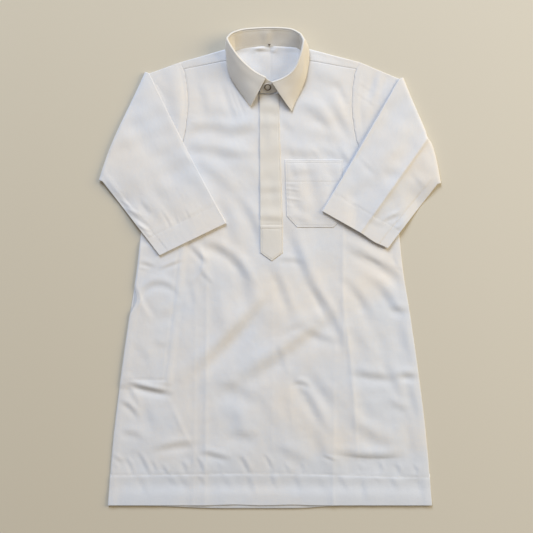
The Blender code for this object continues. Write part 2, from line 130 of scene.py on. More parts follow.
def ripple(x, y, wave, seed, angle=0.0, stretch=1.0, count=16):
    """Uneven cloth: `count` sine waves of about one wavelength and random headings, added and scaled to a
    root mean square of 1. Stretch makes them longer along the angle (degrees)."""
    rng = np.random.default_rng(seed)
    c, s = math.cos(math.radians(angle)), math.sin(math.radians(angle))
    along, across = (x * c + y * s) / stretch, y * c - x * s
    total = 0.0
    for _ in range(count):
        heading, phase = rng.uniform(0.0, 2.0 * math.pi, 2)
        step = 2.0 * math.pi / (wave * math.exp(rng.normal(0.0, 0.3)))
        total = total + np.sin(step * (along * math.cos(heading) + across * math.sin(heading)) + phase)
    return total / math.sqrt(count / 2)


print("a smooth step half way:", ramp(0.5, 0.0, 1.0))

# %% [markdown]
# ## Folds placed one by one
# Pressed cloth that has been laid down by hand has four kinds of fold. A wave is a ridge with a trough
# beside it, and its line runs down the slope between them, where the shade falls. A soft fold is a ridge
# or trough alone. A pressed one is a sharp crest left by the iron. A lip is steep on one side and gentle
# on the other, where slack cloth leans over. Each is a row in a table: its two ends, how far it bows to
# the left of its direction, its width and its height, which is negative for a trough.

# %% The fold table's columns and its formula
Fold = namedtuple("Fold", "x0 y0 x1 y1 bow width height kind", defaults=["wave"])
WAVE_SCALE = 2.33           # brings a wave's ridge to a height of 1
LIP_FALLS = (0.08, 0.4)     # a lip's steep side falls over these shares of its width
FADE = 0.4                  # a fold's ends fade over this share of its length


def fold_table(*rows):
    """Folds from rows of the columns above. A row that names no kind is a wave."""
    return [Fold(*row) for row in rows]


def folded(x, y, folds):
    """The height that a table of folds adds at each point. For each fold, t runs along its line and d is
    the distance to the left of it, less a bow of 4t(1 - t); the profile in d fades out at both ends.
    With s = d / w, a wave is 2.33 s exp(-s^2), so its ridge is on the left and 1 high; a soft fold is
    exp(-s^2); a pressed one is exp(-|s|); a lip is exp(s) on the right of its line, and on the left
    0.2 exp(-s / 0.08) + 0.8 exp(-s / 0.4)."""
    total = np.zeros(np.broadcast(x, y).shape)
    for fold in folds:
        dx, dy = fold.x1 - fold.x0, fold.y1 - fold.y0
        length = math.hypot(dx, dy)
        t = ((x - fold.x0) * dx + (y - fold.y0) * dy) / length ** 2
        inside = np.clip(t, 0.0, 1.0)
        d = ((y - fold.y0) * dx - (x - fold.x0) * dy) / length - fold.bow * 4 * inside * (1 - inside)
        if fold.kind == "wave":
            profile = WAVE_SCALE * d / fold.width * bell(d, fold.width)
        elif fold.kind == "soft":
            profile = bell(d, fold.width)
        elif fold.kind == "pressed":
            profile = np.exp(-np.abs(d) / fold.width)
        else:
            sharp, broad = (np.exp(-np.abs(d) / (share * fold.width)) for share in LIP_FALLS)
            profile = np.where(d > 0.0, 0.2 * sharp + 0.8 * broad, np.exp(np.minimum(d, 0.0) / fold.width))
        total += fold.height * profile * ramp(t, -0.5 * FADE, FADE) * ramp(-t, -1.0 - 0.5 * FADE, FADE - 1.0)
    return total


print("fold kinds: wave, soft, pressed, lip")

# %% [markdown]
# ## The robe's outline
# These are the sizes of the solids in the frame, so that the thin shells land on them: half the body's
# width from hem to shoulder, the neckline, the shoulder seams and how the layers lie on each other.
# The smooth curve through each table gives the shells a rounder line than the solids' straight runs.

# %% Outline tables
HEM_Y = node_box("front_panel")[0][1] + 1.8
HEM_DROP = 2.4              # the seen hem hangs this much lower than the solid's
HEM_LIFT, HEM_LIFT_Y = 1.0, (-298.0, -319.0)    # rise of its edge, and where that starts and is full
HEM_ARCS, HEM_ARC_REACH = [(-50.0, 1.2), (28.0, 1.0)], 24.0     # its two low arcs: middle and height
STITCH_SINK_RIGHT, STITCH_SINK_LEFT = 2.0, 5.0  # how far its stitches sink towards the sides
BACK_HEM_PEEK = HEM_Y - node_box("back_panel")[0][1]
PUFF, PUFF_RISE = 2.2, 90.0

NECK_X, NECK_HALF = -3.0, 51.5
BACK_NECK_Y, BACK_NECK_DIP = node_box("back_panel")[1][1], 4.0
SHOULDER_NECK_Y, SHOULDER_ARM_Y = 295.5, 277.0
SEAM_NECK_Y, SEAM_ARM_Y = 279.0, 267.6
LIFT, LIFT_Y, LIFT_X = 1.8, (248.0, 280.0), (98.0, 64.0)
UNDERARM_Y = 121.8

SIDE_SEAM = [(-319.2, 218.7), (-253.5, 214.0), (-149.6, 201.8), (-64.5, 189.7),
             (-1.0, 179.6), (36.7, 175.5), (UNDERARM_Y, 166.7)]
ARMHOLE = [(138.0, 140.4), (159.6, 121.5), (170.4, 117.5), (196.0, 112.5), (221.7, 110.7),
           (239.2, 111.5), (252.7, 113.4), (SEAM_ARM_Y, 116.5), (SHOULDER_ARM_Y, 121.2)]
FRONT_NECK = [(0.0, 234.2), (0.12, 235.6), (0.38, 244.0), (0.64, 256.5), (0.87, 271.0), (1.0, SEAM_NECK_Y)]
NECK_COLUMN = 0.425

WALL = 0.36                 # the cloth as it looks, thinner than the solids' wall
LAYER = 0.45                # one layer of it on the next
BACK_Z = 0.28               # middle of the back's wall, flat on the table
FRONT_Z = 1.8               # middle of the front's wall, as in the solids
ON_TOP = 1.3                # a piece on the front lies this much higher, as in the solids

HEM_DEPTH = 42.0            # the turned-up hem
CUFF_DEPTH = 28.0           # the turned-up cuff
TURN = LAYER / 2            # radius of a hem's folded edge


def side_x(y):
    """Half the body's width at a height: the side seam's curve, a straight underarm, the armhole's curve."""
    under = np.interp(y, [UNDERARM_Y, ARMHOLE[0][0]], [SIDE_SEAM[-1][1], ARMHOLE[0][1]])
    return np.where(y <= UNDERARM_Y, through(SIDE_SEAM, y),
                    np.where(y < ARMHOLE[0][0], under, through(ARMHOLE, y)))


def across_neck(x):
    """Distance from the neck's middle, as a share of half the neck."""
    return np.abs(x - NECK_X) / NECK_HALF


def shoulder_line(x, at_neck, at_arm, arm_y):
    """Height of a straight shoulder line, from beside the neck to the armhole."""
    side = np.where(x < 0.0, -1.0, 1.0)
    inner, outer = NECK_X + side * NECK_HALF, side * side_x(np.array(arm_y))
    return at_neck + (at_arm - at_neck) * (x - inner) / (outer - inner)


def lift(x, y):
    """Rise of the cloth round the back neck, where the collar lies under it."""
    return LIFT * ramp(y, *LIFT_Y) * ramp(-np.abs(x - NECK_X), -LIFT_X[0], -LIFT_X[1])


def puff(x, y):
    """Air between front and back: a parabola across, none at the sides and the hem."""
    return PUFF * (1.0 - np.minimum(np.abs(x) / side_x(y), 1.0) ** 2) * ramp(y, HEM_Y, HEM_Y + PUFF_RISE)


def hem_lift(y):
    """Rise of both hems' edges off the table."""
    return HEM_LIFT * ramp(-y, -HEM_LIFT_Y[0], -HEM_LIFT_Y[1])


def front_hem(x):
    """The front's lower edge: level, plus a low bell curve for each of its two arcs."""
    edge = HEM_Y - HEM_DROP
    for middle, height in HEM_ARCS:
        edge = edge + height * bell(x - middle, HEM_ARC_REACH)
    return edge


def back_hem(x):
    """The back's lower edge: below HEM_Y by 0.45 of its peek, and by 1.15 of it between two smooth steps."""
    return HEM_Y - BACK_HEM_PEEK * (0.45 + 0.7 * ramp(x, -190.0, -60.0) * ramp(-x, -105.0, -30.0))


def panel_x(share, height):
    """x of a column at a height: the neck's columns lean towards the neck's own middle."""
    lean = NECK_X * (1.0 - share ** 2) ** 2 / (1.0 - NECK_COLUMN ** 2) ** 2
    return share * side_x(height) + lean * ramp(height, 60.0, SHOULDER_ARM_Y - 20.0)


def edge_roll(inward, reach):
    """1 on an edge and 0 from a distance inward, along a quarter circle."""
    t = np.clip(1.0 - inward / reach, 0.0, 1.0)
    return 1.0 - np.sqrt(1.0 - t * t)


print(f"hem {2 * SIDE_SEAM[0][1]:.0f} mm wide, back neck at {BACK_NECK_Y:.1f} mm")

# %% [markdown]
# ## The front's folds
# The centre front and both sides were ironed in, so they stand as sharp crests down the skirt. The rest
# is slack: hollows across the chest, drag lines from the placket towards the side, a deep trough under
# the pocket bag, and short puckers above the hem where the stitching draws the cloth in. No two have
# the same length or depth.

# %% The front's fold tables
PRESSED = fold_table(
    (3.4, 8, 2.6, -330, 0, 2.2, 0.22, "pressed"), (-86, 30, -89, -380, 1, 5.0, 1.05, "pressed"),
    (-102, -20, -106, -380, 2, 2.6, 0.40, "pressed"), (98, 90, 99, -130, 0, 5.0, 1.05, "pressed"),
    (98, -40, 118, -268, 3, 5.0, 1.35, "pressed"), (87, -120, 84, -380, 0, 4.0, 0.62, "pressed"),
    (20, -96, 32, -250, 1, 4.0, 0.28, "pressed"))
CHEST = fold_table(
    (-124, 184, -58, 189, 3, 11, 0.95), (-74, 186, -16, 190, -3, 12, 1.20),
    (-96, 206, -40, 202, 4, 13, 0.60), (-120, 166, -82, 157, 0, 10, 0.50),
    (-90, 161, -18, 148, -2, 11, 1.05), (-56, 138, -20, 128, 2, 12, 0.55),
    (-96, 142, -48, 96, 2, 12, 0.85), (-70, 104, -44, 20, 3, 12, 0.90), (-44, 94, -12, 30, 5, 9, 0.85),
    (-104, 122, -80, 80, 0, 10, 0.50), (-64, 252, -46, 200, 0, 6, 0.45),
    (-57, 252, -40, 206, 0, 2.4, 0.20), (-50, 246, -33, 206, 0, 2.6, 0.18),
    (-96, 250, -86, 204, 2, 8, 0.35), (36, 220, 84, 194, 2, 13, 1.15), (60, 206, 84, 188, 0, 9, 0.45),
    (76, 236, 116, 174, -3, 10, 0.95), (90, 250, 110, 216, 0, 6, 0.45), (64, 256, 104, 246, 0, 12, 0.60),
    (50, 176, 96, 168, 3, 14, 0.60), (10, 158, 72, 150, -1, 10, 0.85), (60, 162, 106, 144, 0, 9, 0.65),
    (26, 164, 34, 144, 0, 5, 0.16), (52, 162, 66, 146, 0, 5, 0.20), (92, 164, 108, 138, 0, 6, 0.45),
    (14, 200, 32, 182, 0, 8, 0.45))
ARMHOLE_PUCKERS = [Fold(side * 113, at, side * 98, at - 2, 0, 2.0, side * 0.20)
                   for side, starts in ((-1, (232, 224, 216, 207, 199, 191)), (1, (238, 229, 219, 210, 201)))
                   for at in starts]
SKIRT = fold_table(
    (18, 66, 48, -20, 4, 11, 0.75), (36, 26, 80, -62, -2, 9, 0.75), (54, -22, 102, -112, 5, 7.5, 0.95),
    (60, -34, 88, -94, 0, 5, 0.35), (0, 6, 34, -74, 2, 9, 0.75), (10, 9, 44, 7, 2, 5, 0.60),
    (42, -80, 92, -100, -3, 8, 0.70), (62, -60, 82, -84, 1, 3, 0.30, "pressed"),
    (10, -100, 20, -140, 0, 6, 0.30), (-92, 34, -26, -20, 10, 9, 1.35), (-46, 12, -22, -66, 3, 12, 1.00),
    (-76, -24, -66, -90, 0, 13, 0.70), (-104, -142, -6, -38, -4, 13, 2.00),
    (-58, -162, 96, -56, -4, 14, 1.60), (14, -92, 62, -70, 3, 8, 0.55),
    (-70, -160, -18, -178, 3, 13, 0.85), (-62, -226, -16, -232, 3, 11, 0.70),
    (-52, -190, -40, -226, 0, 12, 0.55), (-10, -176, 8, -216, 0, 11, 0.50),
    (32, -156, 54, -162, 3, 4.5, 0.65), (34, -150, 80, -226, 2, 9, 1.05),
    (54, -142, 88, -186, 0, 11, 0.75), (58, -208, 76, -262, 0, 12, 0.75),
    (6, -240, 50, -264, 0, 11, 0.65))
SIDE = fold_table(
    (102, 28, 184, -20, 3, 10, 1.30), (126, 16, 152, 2, 1, 4, 0.35), (166, 14, 182, -10, 0, 3, 0.35),
    (168, 2, 184, -8, 0, 2.6, 0.30), (98, -12, 140, -72, 3, 9, 0.85),
    (118, -66, 134, -58, 0, 3, 0.28, "pressed"), (138, -14, 176, -64, 2, 9, 0.95),
    (160, -54, 196, -57, -2, 7, 0.85), (114, -84, 136, -122, 0, 12, 0.60),
    (150, -84, 160, -124, 0, 12, 0.50), (176, -72, 186, -116, 0, 10, 0.60),
    (110, -142, 168, -149, -1, 8, 1.00), (172, -145, 208, -147, 0, 7, 1.25),
    (156, -124, 178, -176, 0, 9, 0.70), (186, -152, 198, -196, 0, 8, 0.60),
    (160, -182, 186, -193, 0, 8, 0.60), (128, -180, 140, -206, 0, 11, 0.50),
    (106, -202, 164, -238, -5, 12, 1.00), (188, -198, 198, -268, 0, 12, 0.75),
    (94, -246, 174, -250, -3, 8.0, 1.80, "soft"), (92, -253.5, 177, -257, -3, 22, -2.00, "lip"),
    (-99, -17, -99, 33, -8.5, 10, 1.50, "lip"), (72, -254, 90, -262, 0, 3, 0.40))
ROUND_POCKET = fold_table(
    (-186, 6, -156, 1, 2, 4.5, 0.60), (-182, 0, -164, -5, 0, 2.4, 0.35),
    (-148, -2, -120, 9, 0, 3.6, 0.50), (-180, -40, -122, -36, 17, 7, 0.85),
    (-158, -68, -180, -38, 0, 5, 0.50), (-154, -64, -130, -62, 0, 9, 0.35),
    (-154, -104, -138, -106, 0, 6, 0.30), (-182, -104, -164, -128, 2, 8, 0.35),
    (-108, 30, -86, 6, 0, 4.5, 0.85), (-94, -4, -79, -22, 0, 4, 0.60),
    (-88, 0, -108, -22, 0, 1.8, 0.35, "pressed"), (-110, -18, -100, -52, 0, 6, 0.35),
    (-120, -20, -128, -110, 0, 9, 0.30), (-194, -153, -138, -168, -4, 5.6, 1.05),
    (-174, -162, -134, -171, 0, 5.0, 0.90), (-196, -156, -176, -192, 2, 5, 0.50),
    (-204, -180, -178, -202, 3, 5, 1.00), (-166, -184, -156, -222, 0, 9, 0.45),
    (-200, -222, -172, -231, 2, 7, 0.65), (-156, -246, -102, -238, 2, 7.5, 0.95),
    (-140, -174, -88, -284, -2, 3.2, 0.80, "pressed"), (-134, -186, -96, -262, -2, 3.0, 0.35),
    (-214, -252, -200, -264, 0, 4, 0.60), (-92, -249, -56, -258, 0, 6, 0.80))
# x and y of a pucker's lower end at the hem's stitches, its length, its width and its height
PUCKERS = [Fold(x - 0.46 * length, y + 0.9 * length, x, y, 1.0, width, height)
           for x, y, length, width, height in (
               (-184, -278, 22, 3.2, 0.55), (-163, -279, 32, 4.0, 0.60), (-153, -276, 16, 3.0, 0.45),
               (-139, -280, 14, 3.2, 0.60), (-112, -276, 16, 4.0, 0.55), (-89, -276, 20, 3.6, 0.60),
               (-66, -274, 12, 3.4, 0.30), (-27, -279, 27, 4.2, 0.62), (4, -274, 24, 3.2, 0.45),
               (26, -278, 14, 3.0, 0.35), (46, -275, 12, 3.4, 0.25), (124, -277, 12, 4.0, 0.30),
               (152, -276, 14, 4.0, 0.40), (176, -279, 14, 4.0, 0.55), (200, -278, 12, 3.6, 0.40),
               (-206, -277, 14, 3.6, 0.35))]
FRONT_FOLDS = PRESSED + CHEST + ARMHOLE_PUCKERS + SKIRT + SIDE + ROUND_POCKET + PUCKERS
# folds that run on over the stiff hem
HEM_FOLDS = fold_table(
    (-140, -282, -124, -296, 0, 5, 0.30), (-122, -282, -108, -300, 0, 6, 0.35),
    (-98, -280, -88, -294, 0, 4, 0.30), (2, -278, 8, -300, 0, 5, 0.40), (64, -282, 76, -304, 0, 7, 0.30),
    (124, -284, 130, -312, 0, 6, 0.35), (84, -282, 86, -330, 0, 5, 0.40, "pressed"),
    (-300, -299, 300, -301, 0, 10, -0.55), (200, -284, 208, -306, 0, 7, 0.35),
    (140, -284, 150, -290, 0, 4, 0.20), (-176, -280, -168, -304, 0, 6, 0.35),
    (-62, -280, -54, -300, 0, 6, 0.30), (-30, -280, -22, -306, 0, 5, 0.35),
    (34, -280, 42, -302, 0, 6, 0.35), (92, -280, 104, -300, 0, 5, 0.35),
    (162, -280, 172, -300, 0, 6, 0.35))
HEM_STITCH_Y = HEM_Y + HEM_DEPTH - 1.5

# the side pocket: its bag under the front, its stitching through the front, its mouth in the side seam
BAG_LOW, BAG_HIGH = -152.0, 22.0
BAG_INNER = [(-152.0, -142.0), (-104.6, -137.0), (22.0, -123.0)]
BAG_SLOPE, GROWTH = 10.0, 4.0
MOUTH_LOW, MOUTH_HIGH, MOUTH_DEPTH, MOUTH_CURVE = -67.0, -23.0, 6.5, 22.0


def over_bag(x, y):
    """1 on the side pocket's bag, falling to 0 round it."""
    inner = read(BAG_INNER, y)
    start, end = GROWTH, GROWTH + BAG_SLOPE
    return (ramp(-x, -inner - end, -inner - start) * ramp(y, BAG_LOW - end, BAG_LOW - start)
            * ramp(-y, -BAG_HIGH - end, -BAG_HIGH - start))


def hem_stitch(x):
    """Height of the hem's row of stitches, which sinks towards both sides and more to the wearer's left."""
    return HEM_STITCH_Y - STITCH_SINK_RIGHT * ramp(-x, 20.0, 210.0) - STITCH_SINK_LEFT * ramp(x, 0.0, 216.0)


def front_z(x, y):
    """Middle of the front's wall: the solid's layers, air and bag, the folds, and a low ripple. The folds
    fade out on the stiff hem, whose two layers stand a little higher."""
    hem_distance = y - hem_stitch(x)
    loose = ramp(hem_distance, -6.0, 5.0)
    folds = folded(x, y, FRONT_FOLDS) + 0.22 * ripple(x, y, 46.0, 3, angle=-60, stretch=1.6)
    folds = folds + 0.05 * ripple(x, y, 20.0, 4, angle=-60, stretch=1.4)
    on_hem = folded(x, y, PRESSED + HEM_FOLDS) + 0.10 * ripple(x, y, 40.0, 5, angle=90, stretch=2.5)
    calm = ramp(side_x(y) - np.abs(x), 0.0, 16.0)
    z = FRONT_Z + lift(x, y) + puff(x, y) + ON_TOP * over_bag(x, y)
    z = z + (folds * loose + on_hem * (1.0 - loose)) * (0.25 + 0.75 * calm) + 0.35 * (1.0 - loose)
    z = z + hem_lift(y) - 0.30 * bell(hem_distance, 1.6)
    z = z - 0.10 * bell(hem_distance, 1.2) * ripple(x, 0.0, 9.0, 6)
    z = z + 0.40 * bell(side_x(y) - np.abs(x) - 6.5, 4.5) * ramp(-y, -112.0, -90.0)
    z = z - 0.4 * bell(x - read(BAG_INNER, y), 1.5) * ramp(y, BAG_LOW - 2, BAG_LOW) * ramp(-y, -24, -20)
    z = z - 0.4 * bell(y - BAG_LOW, 1.5) * ramp(-x, 139, 145) * ramp(x, -194, -190)
    floor_of_it = BACK_Z + lift(x, y) + hem_lift(y) + WALL + 0.5 * ON_TOP * over_bag(x, y)
    return np.maximum(z, floor_of_it + 0.35 * np.exp(np.minimum(z - floor_of_it, 0.0)))


print(len(FRONT_FOLDS), "folds on the front")

# %% [markdown]
# ## From a grid of points to a piece of cloth
# A piece could be modelled by hand and unwrapped afterwards. Here the grid already says where every
# point lies on the flat cloth, so the UV map comes free, in metres, and the weave follows each piece as
# it was cut. A Solidify modifier then gives the open surface its wall, half to each side.

# %% Grid to mesh
def add_mesh(name, points, faces, finish):
    """A smooth mesh in the scene, from points in millimetres and faces, with one material."""
    mesh = bpy.data.meshes.new(name)
    mesh.from_pydata((points.reshape(-1, 3) * MM).tolist(), [], faces.tolist())
    mesh.shade_smooth()
    mesh.materials.append(finish)
    made = bpy.data.objects.new(name, mesh)
    bpy.context.scene.collection.objects.link(made)
    return made


def grid_piece(name, points, flat, finish, wall=WALL, keep=None, ring=False, rim=0.0):
    """A mesh from points (rows, columns, 3) and their places on the flat cloth (rows, columns, 2), all in
    millimetres. keep (rows - 1, columns - 1) says which quads stay; a ring's last column is its first."""
    rows, columns = points.shape[:2]
    place = np.arange(rows * columns).reshape(rows, columns)
    corner = place.copy()
    if ring:
        corner[:, -1] = corner[:, 0]

    def around(index):
        quads = np.stack([index[:-1, :-1], index[:-1, 1:], index[1:, 1:], index[1:, :-1]], axis=-1)
        return (quads if keep is None else quads[keep]).reshape(-1, 4)

    used, faces = np.unique(around(corner), return_inverse=True)
    piece = add_mesh(name, points.reshape(-1, 3)[used], faces.reshape(-1, 4), finish)
    layer = piece.data.uv_layers.new(name="flat")
    layer.data.foreach_set("uv", (flat.reshape(-1, 2)[around(place).ravel()] * MM).ravel())
    if wall:
        solid = piece.modifiers.new("wall", "SOLIDIFY")
        solid.thickness = wall * MM
        solid.offset = 0.0
        solid.use_even_offset = False
    if rim:
        edge = piece.modifiers.new("rim", "BEVEL")
        edge.width = rim * MM
        edge.segments = 2
        edge.limit_method = "ANGLE"
        edge.angle_limit = math.radians(60.0)
    print(f"{name}: {len(faces) // 4} quads")
    return piece


def on_grid(points, rows, columns):
    """Points of a grid at fractional rows and columns, each the mean of its four neighbours by nearness."""
    rows, columns = np.broadcast_arrays(np.asarray(rows, float), np.asarray(columns, float))
    i = np.clip(rows.astype(int), 0, points.shape[0] - 2)
    j = np.clip(columns.astype(int), 0, points.shape[1] - 2)
    a, b = (rows - i)[..., None], (columns - j)[..., None]
    return ((points[i, j] * (1 - b) + points[i, j + 1] * b) * (1 - a)
            + (points[i + 1, j] * (1 - b) + points[i + 1, j + 1] * b) * a)


def grid_normals(points):
    """The unit normal at each point of a grid: the cross product of its row and column directions."""
    return unit(np.cross(np.gradient(points, axis=1), np.gradient(points, axis=0)))

# %% [markdown]
# ## Finishes
# A material is a small program: noise and waves on the cloth's own coordinates feed its colour, its
# roughness and its bump. Written as Python expressions it reads like the formula it is. One class wraps
# a socket, so that plus, minus and times add Math nodes, and one method adds every other kind of node.

# %% A socket with arithmetic, and a material with one method
class Value:
    """A shader socket on which Python's own operators add Math nodes."""

    def __init__(self, finish, socket):
        self.finish, self.socket = finish, socket

    def math(self, operation, *values):
        return self.finish.node("ShaderNodeMath", {"operation": operation}, dict(enumerate(values)))

    def __add__(self, other):
        return self.math("ADD", self, other)

    def __sub__(self, other):
        return self.math("SUBTRACT", self, other)

    def __rsub__(self, other):
        return self.math("SUBTRACT", other, self)

    def __mul__(self, other):
        return self.math("MULTIPLY", self, other)

    def sine(self):
        return self.math("SINE", self)

    __radd__, __rmul__ = __add__, __mul__


class Finish:
    """A material in the making, on a Principled BSDF."""

    def __init__(self, name):
        self.material = bpy.data.materials.new(name)
        self.material.use_nodes = True
        self.tree = self.material.node_tree
        self.shader = self.tree.nodes["Principled BSDF"]

    def node(self, kind, settings=None, inputs=None, output=0):
        """One node of a kind: its settings first, then the values or links of its sockets."""
        made = self.tree.nodes.new(kind)
        for key, value in (settings or {}).items():
            setattr(made, key, value)
        for key, value in (inputs or {}).items():
            if isinstance(value, Value):
                self.tree.links.new(value.socket, made.inputs[key])
            else:
                made.inputs[key].default_value = value
        return Value(self, made.outputs[output])

    def noise(self, scale, detail=2.0):
        """Noise on Object coordinates."""
        place = self.node("ShaderNodeTexCoord", None, None, 3)
        return self.node("ShaderNodeTexNoise", None, {"Vector": place, "Scale": scale, "Detail": detail})

    def blend(self, share, low, high):
        """A colour that goes from low to high as the share goes from 0 to 1."""
        return self.node("ShaderNodeMix", {"data_type": "RGBA", "clamp_factor": True},
                         {0: share, 6: (*low, 1.0), 7: (*high, 1.0)}, 2)

    def bump(self, strength, depth, height, **more):
        """A normal bent by a height; the depth is in millimetres."""
        return self.node("ShaderNodeBump", None,
                         {"Strength": strength, "Distance": depth * MM, "Height": height, **more})

    def feed(self, **inputs):
        """Links or sets the shader's own sockets, named with _ for a space."""
        for key, value in inputs.items():
            socket = self.shader.inputs[key.replace("_", " ").title()]
            if isinstance(value, Value):
                self.tree.links.new(value.socket, socket)
            else:
                socket.default_value = value


print("finishes feed:", [s.name for s in Finish("trial").shader.inputs][:4])
bpy.data.materials.remove(bpy.data.materials["trial"])

# %% [markdown]
# ## White cotton
# The cloth is a fine plain weave: threads about 0.4 mm apart, each passing over and under in turn. Two
# sine waves at right angles, multiplied, give that checker of small bumps. Real yarn is uneven, so long
# thin streaks of noise along both directions vary the shade a little, and a broad noise shifts it at
# random between a cool and a warm white. A cool tint on the hem and down the wearer's left side is
# painted light: it stands in for the cool light that falls there, not for the cloth's own colour.

# %% The cotton finish
THREAD = 0.42 * MM


def cotton(name, cool, warm, streaks=0.8, weave=0.5, roughness=0.82, sheen=0.25, crumple=0.8):
    """Woven cotton: a mix of two whites by noise, and bump from the weave, the yarn and fine crumples."""
    make = Finish(name)
    flat = make.node("ShaderNodeUVMap", {"uv_map": "flat"})

    def along(x_size, y_size, detail=2.0):
        scaled = make.node("ShaderNodeVectorMath", {"operation": "MULTIPLY"},
                           {0: flat, 1: (1 / (x_size * MM), 1 / (y_size * MM), 1.0)})
        return make.node("ShaderNodeTexNoise", {"noise_dimensions": "2D"},
                         {"Vector": scaled, "Scale": 1.0, "Detail": detail})

    u = make.node("ShaderNodeSeparateXYZ", None, {0: flat}, 0)
    v = make.node("ShaderNodeSeparateXYZ", None, {0: flat}, 1)
    checker = (u * (2 * math.pi / THREAD)).sine() * (v * (2 * math.pi / THREAD)).sine()
    yarn = along(0.5, 14.0) + along(14.0, 0.5)
    place = make.node("ShaderNodeTexCoord", None, None, 3)
    cloud = make.noise(11.0)

    def rising(axis, start, end):
        at = make.node("ShaderNodeSeparateXYZ", None, {0: place}, axis)
        return make.node("ShaderNodeMapRange", {"interpolation_type": "SMOOTHSTEP"},
                         {"Value": at, "From Min": start * MM, "From Max": end * MM})

    # painted light: a cool tint on the hem and down the wearer's left side, standing in for the cool light
    # there
    painted_cool_light = 0.5 * (1.0 - rising(1, -310, -220)) + 0.45 * rising(0, 50, 140) * (1.0 - rising(1, -70, 0))
    tone = (cloud - 0.5) * 2.2 + (yarn - 1.0) * streaks + 0.5 - painted_cool_light
    soft = make.bump(crumple, 0.25, along(9.0, 11.0, 3.0))
    make.feed(base_color=make.blend(tone, cool, warm), roughness=roughness + 0.06 * (yarn - 1.0),
              normal=make.bump(weave, 0.06, checker * 0.5 + yarn, Normal=soft))
    make.shader.inputs["Sheen Weight"].default_value = sheen
    make.shader.inputs["Sheen Roughness"].default_value = 0.45
    make.shader.inputs["Specular IOR Level"].default_value = 0.3
    return make.material


white = cotton("white_cotton", (0.73, 0.765, 0.83), (0.83, 0.79, 0.745))
collar_white = cotton("collar_cotton", (0.75, 0.735, 0.71), (0.80, 0.76, 0.69), streaks=0.6, crumple=0.3)
print("cotton finishes:", white.name, collar_white.name)

# %% [markdown]
# ## The back
# The back lies flat on the table. Its hem is turned up inside, and beside the neck it folds over the
# shoulders and comes down to the front shoulder seams. One grid does all of it: the turned-up hem, the
# folded edge, the long panel, then the shoulder's half turn and the strip on the front. The part of the
# last rows that would cross the neck is left out.

# %% The back's points
def hem_rows(x, edge_y, inner_rows, z_at, up):
    """The turned-up part of a hem and its folded edge: rows from its raw edge down to the fold, then half a
    circle of radius TURN about it. up is 1 where the hem turns in above the panel, -1 where below."""
    rows = []
    for inward in inner_rows:
        y = edge_y + inward
        inner_x = x * side_x(y) / side_x(edge_y)
        rows.append(np.stack([inner_x, y, z_at(inner_x, y) + up * 2 * TURN], axis=-1))
    for angle in np.radians([70.0, 35.0, 0.0, -35.0, -70.0]):
        y = edge_y + TURN * (1.0 - math.cos(angle))
        z = z_at(x, edge_y + TURN) + up * TURN * (1.0 + math.sin(angle))
        rows.append(np.stack([x, y, z], axis=-1))
    return rows


def flat_rows(points):
    """Where a grid's points lie on the flat cloth: x as it is, and the mean run along the columns."""
    run = np.linalg.norm(np.diff(points, axis=0), axis=-1).mean(axis=1)
    down = np.concatenate([[0.0], np.cumsum(run)])
    return np.stack([points[..., 0], np.broadcast_to(down[:, None], points.shape[:2])], axis=-1)


BACK_FOLDS = fold_table(
    (36, 306, 30, 222, 0, 22, 2.4, "soft"), (-24, 294, 10, 289, 1, 1.6, 1.10),
    (-26, 291.5, -6, 296.5, 0, 2.2, 1.4, "soft"), (-17, 287.0, 4, 292.0, 1, 2.6, -0.7, "soft"),
    (-12, 285.0, -2, 289.5, 0, 2.2, 0.5, "soft"), (9, 296.5, 3, 288.0, 0, 2.0, 1.0, "soft"),
    (26, 286, 40, 262, 2, 9, -0.5, "soft"), (-92, -20, -95, -330, 0, 6.0, 0.35, "pressed"),
    (108, 30, 120, -250, 0, 6.0, 0.35, "pressed"), (-150, -60, -40, -120, 8, 14, 0.3, "soft"),
    (20, 60, 90, -30, 6, 14, 0.3, "soft"))

NECK_CREASE_X, NECK_CREASE_REACH = 0.5, (9.0, 0.9)      # the neck's crease: its hollow and its line


def back_z(x, y):
    """Middle of the back's wall: on the table, with only the folds that rise from it; the side edges turn
    up to meet the front, the neck edge rises to the collar band, and a pressed crease runs down from it."""
    rise = np.maximum(folded(x, y, BACK_FOLDS), -0.02)
    in_neck = ramp(y, 236.0, 262.0) * ramp(-across_neck(x), -1.0, -0.75)
    rise = rise * (0.35 + 0.65 * in_neck) + in_neck * 0.18 * (1 + ripple(x, y, 24.0, 11))
    broad, sharp = (0.45 * np.exp(-np.abs(x - NECK_CREASE_X) / reach) for reach in NECK_CREASE_REACH)
    rise = rise + in_neck * (0.9 - broad - sharp)
    neck_edge = BACK_NECK_Y - BACK_NECK_DIP * across_neck(x) ** 2
    rise = rise + 1.0 * ramp(y, neck_edge - 7.0, neck_edge) * ramp(-across_neck(x), -1.05, -0.9)
    rise = rise + hem_lift(y)
    side = side_x(y) - np.abs(x)
    return BACK_Z + lift(x, y) + rise + 0.25 * edge_roll(side, 2.0) * ramp(-y, -UNDERARM_Y, -110.0)


back_shares = graded(-1.0, 1.0, 147, [(-1, .012, 5), (1, .012, 5), (0, .015, 5),
                                      (-NECK_COLUMN, .02, 1), (NECK_COLUMN, .02, 1)])
for side in (-1, 1):
    back_shares[np.argmin(np.abs(back_shares - side * NECK_COLUMN))] = side * NECK_COLUMN
back_heights = graded(HEM_Y, SHOULDER_ARM_Y, 158,
                      [(HEM_Y, 2, 3), (HEM_STITCH_Y, 3, 2), (SHOULDER_ARM_Y, 9, 2)])

